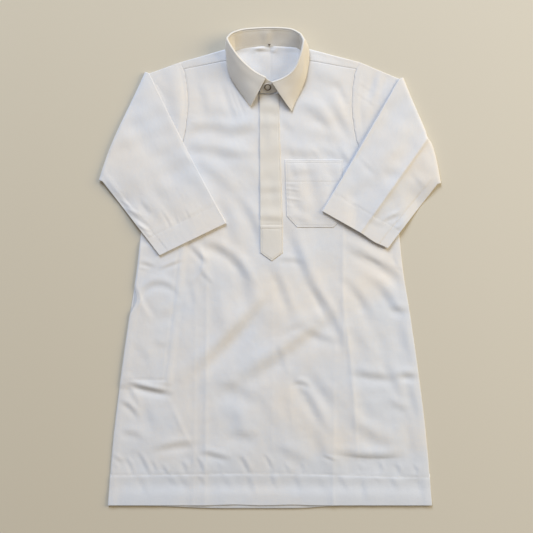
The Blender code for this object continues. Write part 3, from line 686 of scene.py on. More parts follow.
top_x = panel_x(back_shares, np.array(SHOULDER_ARM_Y))
beside_neck = np.abs(back_shares) < NECK_COLUMN - 0.001
fold_y = shoulder_line(top_x, SHOULDER_NECK_Y, SHOULDER_ARM_Y, SHOULDER_ARM_Y)
fold_low = BACK_Z + lift(top_x, fold_y)
fold_high = FRONT_Z + lift(top_x, fold_y) + puff(top_x, fold_y)
fold_radius = (fold_high - fold_low) / 2
fold_centre = fold_y - fold_radius - WALL / 2
top_y = np.where(beside_neck, BACK_NECK_Y + 0.5 - BACK_NECK_DIP * across_neck(top_x) ** 2, fold_centre)

x = panel_x(back_shares[None, :], back_heights[:, None])
hem = back_hem(x)
y = hem + (back_heights[:, None] - HEM_Y) / (SHOULDER_ARM_Y - HEM_Y) * (top_y - hem)
body = np.stack([x, y, back_z(x, y)], axis=-1)
turned = hem_rows(x[0], back_hem(x[0]), np.linspace(HEM_DEPTH, 3.0, 8), back_z, 1.0)
body[0, :, 1] += TURN

over = []
for angle in np.radians(np.linspace(-75.0, 90.0, 10)):
    over.append(np.stack([top_x, fold_centre + fold_radius * math.cos(angle),
                          fold_low + fold_radius * (1.0 + math.sin(angle))], axis=-1))
seam_x = panel_x(back_shares, np.array(SEAM_ARM_Y))
seam_y = shoulder_line(seam_x, SEAM_NECK_Y, SEAM_ARM_Y, SEAM_ARM_Y) + 0.12
for t in np.linspace(0.08, 1.0, 13):
    sx, sy = top_x + (seam_x - top_x) * t, fold_centre + (seam_y - fold_centre) * t
    sz = fold_high + (front_z(sx, sy) - fold_high) * ramp(t, 0.0, 0.4) - 0.08 * ramp(t, 0.86, 1.0)
    over.append(np.stack([sx, sy, sz], axis=-1))
back_points = np.concatenate([np.array(turned), body, np.array(over)])

row_of_cell = np.arange(len(back_points) - 1)[:, None]
middle_of_cell = np.abs(back_shares[1:] + back_shares[:-1])[None, :] / 2
back_keep = (row_of_cell < len(turned) + len(body) - 1) | (middle_of_cell > NECK_COLUMN)
back = grid_piece("back_panel_cloth", back_points, flat_rows(back_points), white, keep=back_keep)

# %% [markdown]
# ## The front
# The front lies on the back and carries most of what is seen: its hem, the folds from the tables above,
# the step down round the pocket bag, and the edge that draws in at the pocket's mouth. Its side edges
# roll down to the back's, because a side seam joins them, while the mouth stays open.

# %% The front's points
def front_top(x):
    """Upper edge of the front: the neckline's curve, then the dropped shoulder seam."""
    seam = shoulder_line(x, SEAM_NECK_Y, SEAM_ARM_Y, SEAM_ARM_Y)
    return np.where(across_neck(x) < 1.0, through(FRONT_NECK, np.minimum(across_neck(x), 1.0)), seam)


def mouth_at(y):
    """1 along the side pocket's mouth, falling to 0 at its ends."""
    return ramp(y, MOUTH_LOW, MOUTH_LOW + MOUTH_CURVE) * ramp(-y, -MOUTH_HIGH, -MOUTH_HIGH + MOUTH_CURVE)


front_shares = graded(-1.0, 1.0, 209, [(-1, .010, 7), (1, .010, 7)])
front_heights = graded(HEM_Y, SEAM_ARM_Y, 224, [(HEM_Y, 2, 2), (HEM_STITCH_Y, 3, 2.5), (-252, 7, 1.2),
                                                (-158, 8, 1.2), (2, 8, 0.8), (SEAM_ARM_Y, 2, 2)])
x = panel_x(front_shares[None, :], front_heights[:, None])
hem = front_hem(x)
y = hem + (front_heights[:, None] - HEM_Y) / (SEAM_ARM_Y - HEM_Y) * (
    front_top(panel_x(front_shares, np.array(SEAM_ARM_Y))) - hem)
near_stitch = ramp(front_heights, HEM_Y, HEM_STITCH_Y) * ramp(-front_heights, 200.0, -HEM_STITCH_Y)
y = y + (hem_stitch(x) - HEM_STITCH_Y) * near_stitch[:, None]
inward = (1.0 - np.abs(front_shares[None, :])) * side_x(y)
mouth = mouth_at(y) * (front_shares[None, :] < 0.0)
z = front_z(x, y)
below_arm = ramp(-y, -UNDERARM_Y, -112.0)
on_hem = ramp(-y, -HEM_STITCH_Y, -HEM_STITCH_Y + 8.0)
z = z - (0.85 - 0.6 * on_hem) * edge_roll(inward, 2.2) * below_arm * (1.0 - mouth)
z = z - 0.25 * bell(inward, 1.1) * (1.0 - below_arm)
z = z - 0.12 * bell(y - front_top(x), 1.0) * (across_neck(x) > 1.0)
beside_mouth = ramp(y, MOUTH_HIGH - 50.0, MOUTH_HIGH - 20.0) * ramp(-y, -44.0, -30.0)
left_seam = beside_mouth * (front_shares[None, :] < 0)
z = z + 0.55 * bell(inward - 2.4 - 5.5 * mouth, 1.7) * left_seam
x = x + MOUTH_DEPTH * mouth * np.abs(front_shares[None, :]) ** 12
front_grid = np.stack([x, y, z], axis=-1)


def hem_front_z(x, y):
    """The front's height near its hem, as the grid's first rows have it."""
    return front_z(x, y) - 0.25 * edge_roll(side_x(y) - np.abs(x), 2.2)


turned = hem_rows(x[0], front_hem(x[0]), np.linspace(HEM_DEPTH, 3.0, 5), hem_front_z, -1.0)
front_grid[0, :, 1] += TURN
front_points = np.concatenate([np.array(turned), front_grid])
front = grid_piece("front_panel_cloth", front_points, flat_rows(front_points), white)

# %% [markdown]
# ## The placket
# The placket is a folded box of cloth with an interlining, so it stays flatter than the front it lies
# on. Its left side is free and stands a little proud. Its right side and pointed tip are stitched down.

# %% The placket's points
PLACKET_LOW, PLACKET_HIGH = node_box("placket")
PLACKET_SHOULDER = 19.4
PLACKET_LEFT = [(8.0, -13.0), (PLACKET_HIGH[1], PLACKET_LOW[0])]
PLACKET_RIGHT = [(8.0, PLACKET_HIGH[0]), (57.0, PLACKET_HIGH[0]), (199.0, 12.6), (PLACKET_HIGH[1], 12.2)]
PLACKET_BARS = (57.2, 51.4)             # the two rows of stitches across it
EDGE_STITCH = 1.8                       # from an edge to its row of stitches
TIP_SLOPE = 0.86                        # distance square to the slanting tip for each 1 straight up
PLACKET_FOLDS = fold_table(
    (-20, 214, 22, 208, 0, 9, 0.55), (-20, 190, 22, 192, 0, 9, 0.35),
    (-20, 178, 20, 182, 0, 10, -0.35, "soft"), (-22, 148, 24, 152, 0, 14, 0.40),
    (-22, 120, 22, 114, 0, 12, -0.35, "soft"), (-22, 103, 22, 105, 0, 8, 0.55),
    (-22, 88, 24, 92, 0, 11, 0.35), (-22, 66, 24, 64, 0, 7, 0.60), (-6, 212, -2, 150, 0, 7, 0.25),
    (4, 130, 8, 80, 0, 8, 0.25))


def placket_tip(share):
    """Height of the placket's lower edge: a point in the middle, straight up to both sides."""
    return PLACKET_SHOULDER - (PLACKET_SHOULDER - PLACKET_LOW[1]) * (1.0 - np.abs(2.0 * share - 1.0))


def placket_x(share, y):
    """x at a share of the placket's width."""
    return read(PLACKET_LEFT, y) * (1.0 - share) + read(PLACKET_RIGHT, y) * share


def placket_z(share, x, y):
    """Middle of the placket's wall: on the front's form with half of its folds, rounded down at its edges,
    dented along its stitches and raised a little between the two bars."""
    under = front_z(x, y)
    calm = FRONT_Z + lift(x, y) + puff(x, y)
    width = read(PLACKET_RIGHT, y) - read(PLACKET_LEFT, y)
    left, right, tip = share * width, (1.0 - share) * width, y - placket_tip(share)
    top = np.maximum(0.5 * calm + 0.5 * under, under) + ON_TOP + folded(x, y, PLACKET_FOLDS)
    top = np.maximum(top, under + LAYER + 0.3)
    down = np.maximum(edge_roll(right, 1.5), edge_roll(tip * TIP_SLOPE, 1.5))
    down = np.maximum(down, edge_roll(left, 1.5) * (0.45 + 0.5 * ramp(-y, -PLACKET_BARS[0], -40.0)))
    top = top * (1.0 - down) + (under + LAYER) * down
    dents = bell(right - EDGE_STITCH, 0.7) + bell(tip * TIP_SLOPE - EDGE_STITCH, 0.7)
    dents = dents + bell(left - EDGE_STITCH, 0.7) * (y < PLACKET_BARS[0])
    for bar in PLACKET_BARS:
        dents = dents + bell(y - bar, 0.7)
    return top - 0.28 * np.minimum(dents, 1.0) + 0.22 * bell(y - sum(PLACKET_BARS) / 2, 1.8)


def strip_grid(shares, rows, bottom, top, x_at, z_at):
    """A piece on the front: columns across at the shares, rows from its lower to its upper edge."""
    low = bottom(shares)[None, :]
    y = low + rows[:, None] * (top - low)
    x = x_at(shares[None, :], y)
    return np.stack([x, y, z_at(shares[None, :], x, y)], axis=-1)


edge_spots = [(0.0, 0.05, 2.5), (1.0, 0.05, 2.5)]
placket_points = strip_grid(graded(0, 1, 41, edge_spots), graded(0, 1, 230, [(0, .012, 4), (.205, .03, 2)]),
                            placket_tip, PLACKET_HIGH[1], placket_x, placket_z)
placket = grid_piece("placket_cloth", placket_points, placket_points[..., :2], collar_white)

# %% [markdown]
# ## The chest pocket
# A patch pocket is stitched down on three sides and open at its top, which is hemmed by a double row.
# The stitching draws its left side into small puckers, and the cloth over the opening lies in soft
# slanting folds, so it needs its own fine grid.

# %% The chest pocket's points
POCKET_LOW, POCKET_HIGH = node_box("chest_pocket")
POCKET_LEFT = [(POCKET_LOW[1], 23.2), (POCKET_HIGH[1], POCKET_LOW[0])]
POCKET_RIGHT = [(POCKET_LOW[1], 97.0), (POCKET_HIGH[1], POCKET_HIGH[0])]
POCKET_CUTS = [(0.18, 15.0), (0.16, 10.0)]      # cut corners: share across, height
CUT_SLOPE = 0.8                                 # distance square to a cut for each 1 straight up
POCKET_ROWS = (142.9, 140.3)                    # its double top row
POCKET_HEM = 115.0                              # the edge of its hem
POCKET_FOLDS = fold_table(
    (30, 118, 44, 58, 2, 9, 0.40), (46, 122, 60, 64, 3, 10, -0.34), (56, 142, 76, 60, -4, 11, 0.50),
    (74, 142, 88, 80, 3, 10, -0.34), (28, 144, 38, 116, 0, 6, 0.25), (44, 144, 52, 116, 0, 6, -0.25),
    (84, 142, 97, 98, 0, 9, 0.34), (26, 80, 62, 56, 3, 8, -0.35), (24, 124, 60, 128, 2, 7, 0.35))
POCKET_PUCKERS = [Fold(17, y, 17 + reach, y - fall, 0, 1.9, high, "soft") for y, reach, fall, high in (
    (112.5, 18, 1.0, 0.22), (106.5, 24, 3.0, 0.34), (100.5, 15, 0.5, 0.16), (94.0, 26, 4.0, 0.36),
    (85.0, 16, 3.0, 0.20), (70.0, 14, 2.0, 0.14))]


def pocket_bottom(share):
    """Height of the pocket's lower edge, its two corners cut off by straight lines."""
    inner = POCKET_CUTS[0][1] * np.maximum(1.0 - share / POCKET_CUTS[0][0], 0.0)
    outer = POCKET_CUTS[1][1] * np.maximum((share - 1.0 + POCKET_CUTS[1][0]) / POCKET_CUTS[1][0], 0.0)
    return POCKET_LOW[1] + inner + outer


def pocket_x(share, y):
    """x at a share of the pocket's width."""
    return read(POCKET_LEFT, y) * (1.0 - share) + read(POCKET_RIGHT, y) * share


def pocket_z(share, x, y):
    """Middle of the pocket's wall: on the front, puffed in its middle, rounded down at its stitched edges,
    with its folds, puckers and a dent along each row of stitches."""
    under = front_z(x, y)
    width = read(POCKET_RIGHT, y) - read(POCKET_LEFT, y)
    left, right, low, high = share * width, (1 - share) * width, y - pocket_bottom(share), POCKET_HIGH[1] - y
    side = np.minimum(np.minimum(left, right), low * CUT_SLOPE)
    top = under + ON_TOP - 0.5 + 0.5 * ramp(side, 0.0, 14.0)
    top = top + folded(x, y, POCKET_FOLDS) * ramp(side, 1.0, 9.0) + folded(x, y, POCKET_PUCKERS)
    top = np.maximum(top, under + LAYER)
    down = edge_roll(side, 1.4)
    top = top * (1.0 - down) + (under + LAYER) * down - 0.25 * edge_roll(high, 1.0)
    dents = bell(side - EDGE_STITCH, 0.7) + 0.8 * bell(y - POCKET_HEM, 0.8)
    for row in POCKET_ROWS:
        dents = dents + bell(y - row, 0.6)
    return np.maximum(top - 0.25 * np.minimum(dents, 1.0), under + LAYER)


pocket_shares = graded(0, 1, 96, [(0.0, 0.02, 2.5), (1.0, 0.02, 2.5)])
pocket_points = strip_grid(pocket_shares, graded(0, 1, 112, [(0, .02, 2.5), (.97, .03, 1.5)]), pocket_bottom,
                           POCKET_HIGH[1], pocket_x, pocket_z)
pocket = grid_piece("chest_pocket_cloth", pocket_points, pocket_points[..., :2], white)

# %% [markdown]
# ## The side pocket's bag
# The bag is a flat pouch between the back and the front. Only the step that it presses into the front
# and the strip behind the mouth are seen, so a plain sheet of cloth is enough.

# %% The bag's points
bag_shares, bag_rows = np.meshgrid(np.linspace(0, 1, 22), np.linspace(0, 1, 60))
bag_outer = [(at, 3.5 - side_x(np.array(at))) for at in np.linspace(BAG_LOW, BAG_HIGH, 9)]
bag_y = BAG_LOW + bag_rows * (BAG_HIGH - BAG_LOW)
bag_x = through(bag_outer, bag_y) * (1 - bag_shares) + read(BAG_INNER, bag_y) * bag_shares
bag_z = np.full_like(bag_x, BACK_Z + 1.15)
bag_points = np.stack([bag_x, bag_y, bag_z], axis=-1)
bag = grid_piece("side_pocket_bag_cloth", bag_points, bag_points[..., :2], white)

# %% [markdown]
# ## The sleeves
# Each sleeve is a flattened tube. It leaves the armhole flat on the table, folds over along a slanting
# line, and lies across the front with its back side up. A ring of points is carried along that path: a
# lower layer, a tight half round, an upper layer and another half round. At the cuff the ring turns
# inside itself, as the real hem does.

# %% The sleeves' paths
TUBE_HALF = 0.65
FOLD_Z, CUFF_Z = 4.7, 7.4              # middle of the folded sleeve at its fold and at its cuff
CAP_Z = 1.15                            # middle of the sleeve beside the armhole
SOFT_TURN = 5.0                         # how far the fold's half turn reaches in
SEAM_BAND = 8.0                         # the armhole's seam allowance, pressed towards the sleeve
SEAM_IN = 12.0                          # from the folded sleeve's lower edge to its underarm seam

UNDER_ROWS, FOLD_ROWS, OVER_ROWS = 46, 17, 104      # rows of the lower layer, its fold and the upper one
CUFF_ROW = UNDER_ROWS + FOLD_ROWS + OVER_ROWS - 3   # the cuff's row; neighbours share their end rows
CUFF_SETTLE = {-1: 1.2, 1: 1.8}         # how far the cuff on each side sinks onto the front
PEEK = 1.7                              # how far the left cuff's upper layer slips past its lower one
NO_CUFF = 999.0                         # stands for "far from the cuff"
CUFF_TURNS = (30.0, 60.0, 90.0, 120.0, 150.0, 180.0)    # the cuff's half turn into itself, in degrees
INSIDE_ROWS = 8                         # rows of the turned-in cuff
EDGE_ROUNDS = (-60.0, -30.0, 0.0, 30.0, 60.0)   # the half round along each edge of the tube, in degrees
SLEEVE_WIDTH = 150.0                    # about the width of the folded sleeve

Sleeve = namedtuple("Sleeve",
                    "side fold_top fold_bottom fold_bow cuff_top cuff_bottom edge_bow folds cap_folds")

RIGHT_FOLDS = fold_table(
    (-180, 112, -136, 54, -3, 10, 0.45), (-150, 215, -112, 90, 4, 22, 0.55),
    (-200, 196, -160, 110, 5, 20, -0.50), (-160, 130, -118, 62, -3, 13, 0.35),
    (-226, 130, -186, 76, 0, 3.5, 0.55, "soft"), (-128, 126, -92, 76, 2, 11, -0.30),
    (-203, 92, -184, 78, 0, 2.6, 0.8, "soft"), (-195, 79, -174, 69, 1, 2.6, 1.0, "soft"),
    (-186, 69, -166, 56, 0, 2.4, -0.6, "soft"), (-182, 59, -162, 48, 0, 2.4, 1.1, "soft"),
    (-172, 49, -158, 41, 0, 2.0, 0.5, "soft"), (-144, 74, -132, 50, 1, 3.0, 0.26),
    (-128, 70, -121, 54, 0, 2.6, 0.16), (-113, 78, -104, 58, 0, 3.2, 0.20),
    (-94, 80, -88, 66, 0, 2.6, 0.10), (-168, 240, -186, 190, 2, 15, 0.45),
    (-204, 170, -176, 150, 0, 13, 0.30), (-176, 92, -160, 72, 0, 5, 0.40),
    (-140, 150, -104, 140, 0, 15, 0.30))
LEFT_FOLDS = fold_table(
    (182, 224, 126, 124, 4, 18, 0.70), (196, 190, 160, 130, 0, 14, -0.60),
    (150, 180, 92, 92, -3, 14, 0.45), (116, 152, 142, 124, 0, 4, 0.16), (128, 140, 150, 118, 2, 8, 0.28),
    (152, 128, 176, 130, 0, 10, 0.60), (204, 158, 224, 128, -3, 8, 0.8, "soft"),
    (190, 128, 210, 104, 0, 6, 0.30), (150, 60, 176, 72, 1, 4, 0.50),
    (160, 48, 180, 58, 0, 3, 0.55, "soft"), (134, 62, 158, 56, -2, 5, 0.60),
    (184, 84, 160, 66, 0, 3, 0.35, "soft"), (120, 96, 96, 76, 0, 10, 0.45),
    (196, 100, 168, 70, 2, 8, -0.3, "soft"))
# slack of the left sleeve that leans over in one long lip, from its fold to its cuff
PLEAT = fold_table((262, 243, 72, -24, 0, 15.0, 4.8, "lip"))
RIGHT_CAP = fold_table(
    (-142, 276, -126, 170, 0, 17, 1.5), (-162, 262, -144, 230, 0, 9, 0.50),
    (-112, 200, -104, 150, 0, 5, 0.30))
LEFT_CAP = fold_table(
    (112, 254, 140, 236, 0, 2.6, 0.12), (112, 240, 144, 217, -1, 2.6, 0.15),
    (148, 266, 134, 222, 0, 7.0, 1.05), (168, 260, 148, 224, 0, 11, 0.90),
    (126, 226, 124, 180, 0, 8, 0.35))
SLEEVES = {
    "right_sleeve": Sleeve(-1, (-168.6, 263.9), (-231.1, 117.6), 3.5, (-59.3, 59.5), (-148.9, 16.2), 2.0,
                           RIGHT_FOLDS, RIGHT_CAP),
    "left_sleeve": Sleeve(1, (180.1, 256.2), (231.1, 113.7), 4.5, (70.5, 75.6), (159.0, 25.9), 0.6,
                          LEFT_FOLDS, LEFT_CAP),
}


def armhole_line(share):
    """Points along the armhole and the underarm at shares of its length, on the wearer's left."""
    y = np.concatenate([np.linspace(SHOULDER_ARM_Y - 0.9, ARMHOLE[0][0], 200), [122.8]])
    x = np.append(side_x(y[:-1]) + 0.2, 168.0)
    run = np.concatenate([[0.0], np.cumsum(np.hypot(np.diff(x), np.diff(y)))])
    return np.stack([np.interp(share * run[-1], run, x), np.interp(share * run[-1], run, y)], axis=-1)


def sleeve_ring(sleeve, shares):
    """The sleeve's points. Its middle sheet runs from the armhole to the fold, over a half turn stretched to
    SOFT_TURN, and straight to the cuff, then TURN out, round and back inside. The ring is that sheet moved
    half a tube to both sides along its normal, and joined at both edges by half rounds."""
    inset = TUBE_HALF + WALL / 2
    start = armhole_line(shares) * [sleeve.side, 1.0]

    def line(upper, lower):
        upper, lower = np.array(upper), np.array(lower)
        step = unit(lower - upper) * inset
        return (upper + step) + shares[:, None] * (lower - upper - 2 * step)

    rise = (FOLD_Z - CAP_Z) / 2
    along = unit(np.array(sleeve.fold_bottom) - np.array(sleeve.fold_top))
    outward = np.array([-along[1], along[0]]) * sleeve.side
    bow = sleeve.fold_bow * np.sin(math.pi * shares ** 1.6)
    if sleeve.side > 0:
        bow = bow + 1.5 * ramp(shares, 0.58, 0.66) * ramp(-shares, -1.0, -0.7)
        bow = bow - 0.9 * bell(shares - 0.57, 0.03)
    fold = line(sleeve.fold_top, sleeve.fold_bottom) + outward * (bow - SOFT_TURN - inset)[:, None]
    cuff = line(sleeve.cuff_top, sleeve.cuff_bottom)
    reach = unit(cuff - fold)
    length = np.linalg.norm(cuff - fold, axis=-1)

    sheets, half, part, from_cuff = [], [], [], []

    def upper_layer(t):
        """Its height, and half its thickness, at a share t of the way from the fold to the cuff."""
        return FOLD_Z + (CUFF_Z - FOLD_Z) * t, TUBE_HALF + 0.45 * ramp(t, 0.8, 1.0)

    def add(flat, z, wide, where, distance):
        sheets.append(np.column_stack([flat, np.broadcast_to(z, len(flat))]))
        half.append(wide)
        part.append(where)
        from_cuff.append(np.broadcast_to(distance, len(flat)))

    for t in graded(0.0, 1.0, UNDER_ROWS, [(0.0, 0.06, 4.0), (1.0, 0.05, 0.6)])[:-1]:
        add(start * (1 - t) + fold * t, CAP_Z, TUBE_HALF, 0.0, NO_CUFF)
    for angle in np.radians(np.linspace(-90.0, 90.0, FOLD_ROWS)):
        add(fold + outward * SOFT_TURN * math.cos(angle), CAP_Z + rise * (1.0 + math.sin(angle)), TUBE_HALF,
            ramp(angle, -0.6, 0.9), NO_CUFF)
    for t in graded(0.0, 1.0, OVER_ROWS, [(1.0, 0.01, 4.0)])[1:]:
        flat = fold * (1 - t) + cuff * t
        flat = flat + np.outer(sleeve.edge_bow * 4 * t * (1 - t) * (1 - shares), [sleeve.side, 0.0])
        add(flat, *upper_layer(t), 1.0, (1 - t) * length)
    wide = half[-1]
    for angle in np.radians(CUFF_TURNS):
        add(cuff + reach * TURN * math.sin(angle), CUFF_Z, wide - TURN * (1 - math.cos(angle)), 1.0, 0.0)
    for inward in np.linspace(2.0, CUFF_DEPTH - 2.0, INSIDE_ROWS):
        height, thick = upper_layer(1.0 - inward / length.mean())
        add(cuff - reach * inward, height, thick - 2 * TURN, 1.0, min(inward, CUFF_DEPTH - 5.0))

    middle, half, part = np.array(sheets), np.array(half)[:, None], np.array(part)[:, None]
    run_along = np.gradient(middle, axis=0)
    run_along[-INSIDE_ROWS:] *= -1.0
    run_along = unit(run_along)
    run_along[-INSIDE_ROWS - len(CUFF_TURNS):] = unit(np.column_stack([reach, np.zeros(len(reach))]))
    across = unit(np.gradient(middle, axis=1))
    normal = unit(np.cross(across, run_along)) * -sleeve.side
    normal = normal * np.where(normal[:1, :1, 2:] < 0.0, -1.0, 1.0)
    outer = unit(np.cross(normal, run_along))
    outer = outer * np.where(np.sum(outer[:1, -1:] * across[:1, -1:], axis=-1, keepdims=True) < 0, -1.0, 1.0)

    walls = [middle - half[..., None] * normal, middle + half[..., None] * normal]
    rounds = np.radians(EDGE_ROUNDS)

    def edge(column, sign):
        turn = rounds if sign > 0 else -rounds
        way, face = outer[:, column], normal[:, column]
        return np.stack([middle[:, column] + half * (sign * math.cos(a) * way + math.sin(a) * face)
                         for a in turn], axis=1)

    ring = np.concatenate([walls[0], edge(-1, 1), walls[1][:, ::-1], edge(0, -1), walls[0][:, :1]], axis=1)
    count = len(shares)
    folded_over = np.broadcast_to(part, ring.shape[:2])
    column = np.arange(ring.shape[1])
    first_wall = np.where(column < count, 1.0, 0.0) * np.ones_like(folded_over)
    spread = np.concatenate([np.arange(count), np.full(len(rounds), count - 1), np.arange(count)[::-1],
                             np.zeros(len(rounds), int), [0]])
    return ring, folded_over, first_wall, np.array(from_cuff)[:, spread], shares[spread]

# %% The sleeves' folds, seams and cuffs
def sleeve_middle_z(ring):
    """Height of the middle of the tube at each ring, which both of its walls share."""
    return 0.5 * (ring[..., 2].min(axis=1, keepdims=True) + ring[..., 2].max(axis=1, keepdims=True))


def sleeve_points(sleeve, shares):
    """The ring with its looks: the fold tables, a low ripple, the pressed seam band beside the armhole, the
    dent of the cuff's stitches, a stiffer cuff below it, and a step and a groove along the underarm seam.
    Past the body's side the folded tube sinks towards the table, and each cuff settles onto the front."""
    ring, folded_over, first_wall, from_cuff, share = sleeve_ring(sleeve, shares)
    x, y = ring[..., 0], ring[..., 1]
    edge = np.minimum(share, 1.0 - share) * SLEEVE_WIDTH
    loose = 0.35 + 0.65 * ramp(from_cuff, CUFF_DEPTH - 5.0, CUFF_DEPTH + 4.0)
    on_top = folded(x, y, sleeve.folds) + 0.20 * ripple(x, y, 40.0, 21 + sleeve.side)
    stitched = np.where(from_cuff < NO_CUFF, bell(from_cuff - CUFF_DEPTH, 1.3), 0.0)
    on_top = on_top * loose * ramp(edge, -2.0, 6.0) - 0.3 * stitched * first_wall
    if sleeve.side > 0:
        on_top = on_top + folded(x, y, PLEAT) * first_wall * (0.55 + 0.45 * ramp(from_cuff, 10.0, 40.0))
    armhole = armhole_line(np.linspace(0, 1, 200)) * [sleeve.side, 1.0]
    gap = np.abs(np.interp(y, armhole[::-1, 1], armhole[::-1, 0]) - x)
    beside = (folded_over < 0.001) * (first_wall < 0.5) * (y > 122.0)
    cap = folded(x, y, sleeve.cap_folds) + 0.10 * ripple(x, y, 34.0, 31 + sleeve.side)
    cap = cap * ramp(gap, 2.0, 12.0) + 0.30 * ramp(-gap, -SEAM_BAND - 3.5, -SEAM_BAND + 0.5)
    cap = cap - (0.34 + 0.24 * ripple(0.0, y, 5.0, 35)) * bell(gap, 1.2)
    ring[..., 2] += on_top * folded_over + cap * beside * (1.0 - folded_over)
    beyond = ramp(np.abs(x) - side_x(y), 3.0, 34.0) * ramp(-y, -119.0, -84.0) * folded_over
    ring[..., 2] -= beyond * 0.75 * np.maximum(sleeve_middle_z(ring) - 1.7, 0.0)
    wide = np.linalg.norm(ring[:, len(shares) - 1] - ring[:, 0], axis=-1)[:, None]
    from_edge = (1.0 - share) * wide
    step = (0.30 + 0.10 * sleeve.side) * ramp(-from_edge, -SEAM_IN - 0.8, -SEAM_IN + 1.6)
    groove = (0.26 + 0.14 * sleeve.side) * bell(from_edge - SEAM_IN, 0.9)
    step = (step + groove) * ramp(-from_cuff, -116.0, -90.0)
    past_pocket = 1.0 if sleeve.side < 0 else ramp(x, 99.0, 118.0)
    settle = ramp(-from_cuff, -110.0, -20.0) * (CUFF_SETTLE[sleeve.side] * past_pocket)
    ring[..., 2] -= (step * first_wall + settle) * folded_over
    if sleeve.side > 0:
        along = unit(np.array(sleeve.cuff_bottom) - np.array(sleeve.cuff_top))
        peek = PEEK * bell(share - 0.80, 0.13) * first_wall * ramp(-from_cuff, -5.0, 0.0) * folded_over
        ring[..., 0] += peek * along[1]
        ring[..., 1] -= peek * along[0]
    return ring


sleeve_shares = graded(0.0, 1.0, 98, [(0.0, 0.01, 3.0), (1.0, 0.01, 3.0)])
sleeve_grids, sleeve_pieces = {}, {}
for name, sleeve in SLEEVES.items():
    ring = sleeve_points(sleeve, sleeve_shares)
    across = np.linalg.norm(np.diff(ring, axis=1), axis=-1).mean(axis=0)
    along = np.linalg.norm(np.diff(ring, axis=0), axis=-1).mean(axis=1)
    flat = np.stack(np.broadcast_arrays(np.concatenate([[0.0], np.cumsum(across)])[None, :],
                                        np.concatenate([[0.0], np.cumsum(along)])[:, None]), axis=-1)
    sleeve_grids[name] = ring
    sleeve_pieces[name] = grid_piece(name + "_cloth", ring, flat, white, ring=True)

# %% [markdown]
# ## The collar
# The collar is two pieces of stiffened cloth. The stand is a band that rises from the neckline, leans
# back and laps over itself at the front. The leaf rolls over the band's top and falls to its outer edge
# and its two points. Both come from one table of stations round the neck, so that they keep together.

# %% The collar's stations
COLLAR_WALL = 1.1
COLLAR_STEPS = 12
LEAF_ROLL = 1.1
STAND_HEIGHT, LEAF_FALL = 26.0, 38.0    # of the cloth along them, for its weave
Station = namedtuple("Station", "foot top edge bow")
COLLAR = [Station(*row) for row in (
    ((-6.0, 235.2, 5.4), (-6.0, 253.0, 16.2), (-25.6, 217.2, 5.6), 1.8),
    ((-22.0, 244.5, 5.4), (-21.8, 261.5, 17.0), (-37.0, 232.0, 5.6), 1.8),
    ((-36.0, 257.0, 5.8), (-38.2, 275.8, 19.5), (-48.2, 248.4, 5.9), 1.6),
    ((-48.0, 272.0, 6.6), (-49.6, 290.8, 21.0), (-56.2, 265.0, 6.8), 1.2),
    ((-53.4, 284.2, 7.4), (-55.8, 303.0, 20.6), (-58.6, 283.0, 7.4), 0.9),
    ((-50.5, 289.6, 5.8), (-53.2, 308.6, 19.2), (-58.0, 299.3, 4.2), 0.8),
    ((-48.6, 291.4, 4.8), (-49.8, 311.6, 17.8), (-54.5, 298.6, 0.9), 0.8),
    ((-46.0, 292.8, 4.0), (-45.2, 313.9, 16.6), (-48.5, 291.5, 0.8), 2.0),
    ((-31.9, 295.7, 3.8), (-31.6, 317.8, 14.0), (-33.0, 290.6, 0.8), 2.6),
    ((-1.0, 297.5, 3.8), (-0.5, 319.6, 13.3), (0.0, 291.5, 0.8), 2.4),
    ((25.0, 295.9, 3.8), (26.0, 318.0, 14.0), (26.5, 291.0, 0.8), 2.4),
    ((40.0, 292.8, 4.0), (38.2, 311.8, 16.6), (41.0, 291.5, 0.8), 2.0),
    ((42.6, 291.4, 4.8), (40.8, 308.8, 17.7), (47.2, 298.6, 0.9), 0.8),
    ((44.5, 289.6, 5.8), (42.6, 305.2, 18.9), (50.2, 299.3, 4.2), 0.8),
    ((47.4, 284.2, 7.4), (43.9, 299.5, 20.8), (52.2, 282.0, 7.4), 0.9),
    ((43.0, 268.0, 6.6), (40.0, 282.4, 21.0), (50.2, 263.0, 6.8), 1.2),
    ((32.0, 253.0, 5.8), (32.3, 264.4, 19.6), (45.0, 247.0, 5.9), 1.6),
    ((18.5, 242.3, 6.6), (19.4, 253.4, 18.0), (38.0, 230.5, 5.6), 1.8),
    ((2.7, 235.0, 7.0), (3.2, 246.9, 16.8), (28.8, 210.7, 5.6), 1.8),
)]
UNDER_END = [((2.7, 236.2, 5.4), (2.7, 248.6, 12.4)), ((11.6, 240.1, 5.4), (11.5, 248.0, 9.2))]
OVER_END = [((-7.5, 234.4, 7.0), (-7.5, 245.6, 15.2)), ((-13.0, 234.4, 7.0), (-13.0, 239.6, 10.2))]


def run_length(line):
    """How far along a line each of its points is."""
    return np.concatenate([[0.0], np.cumsum(np.linalg.norm(np.diff(line, axis=0), axis=-1))])


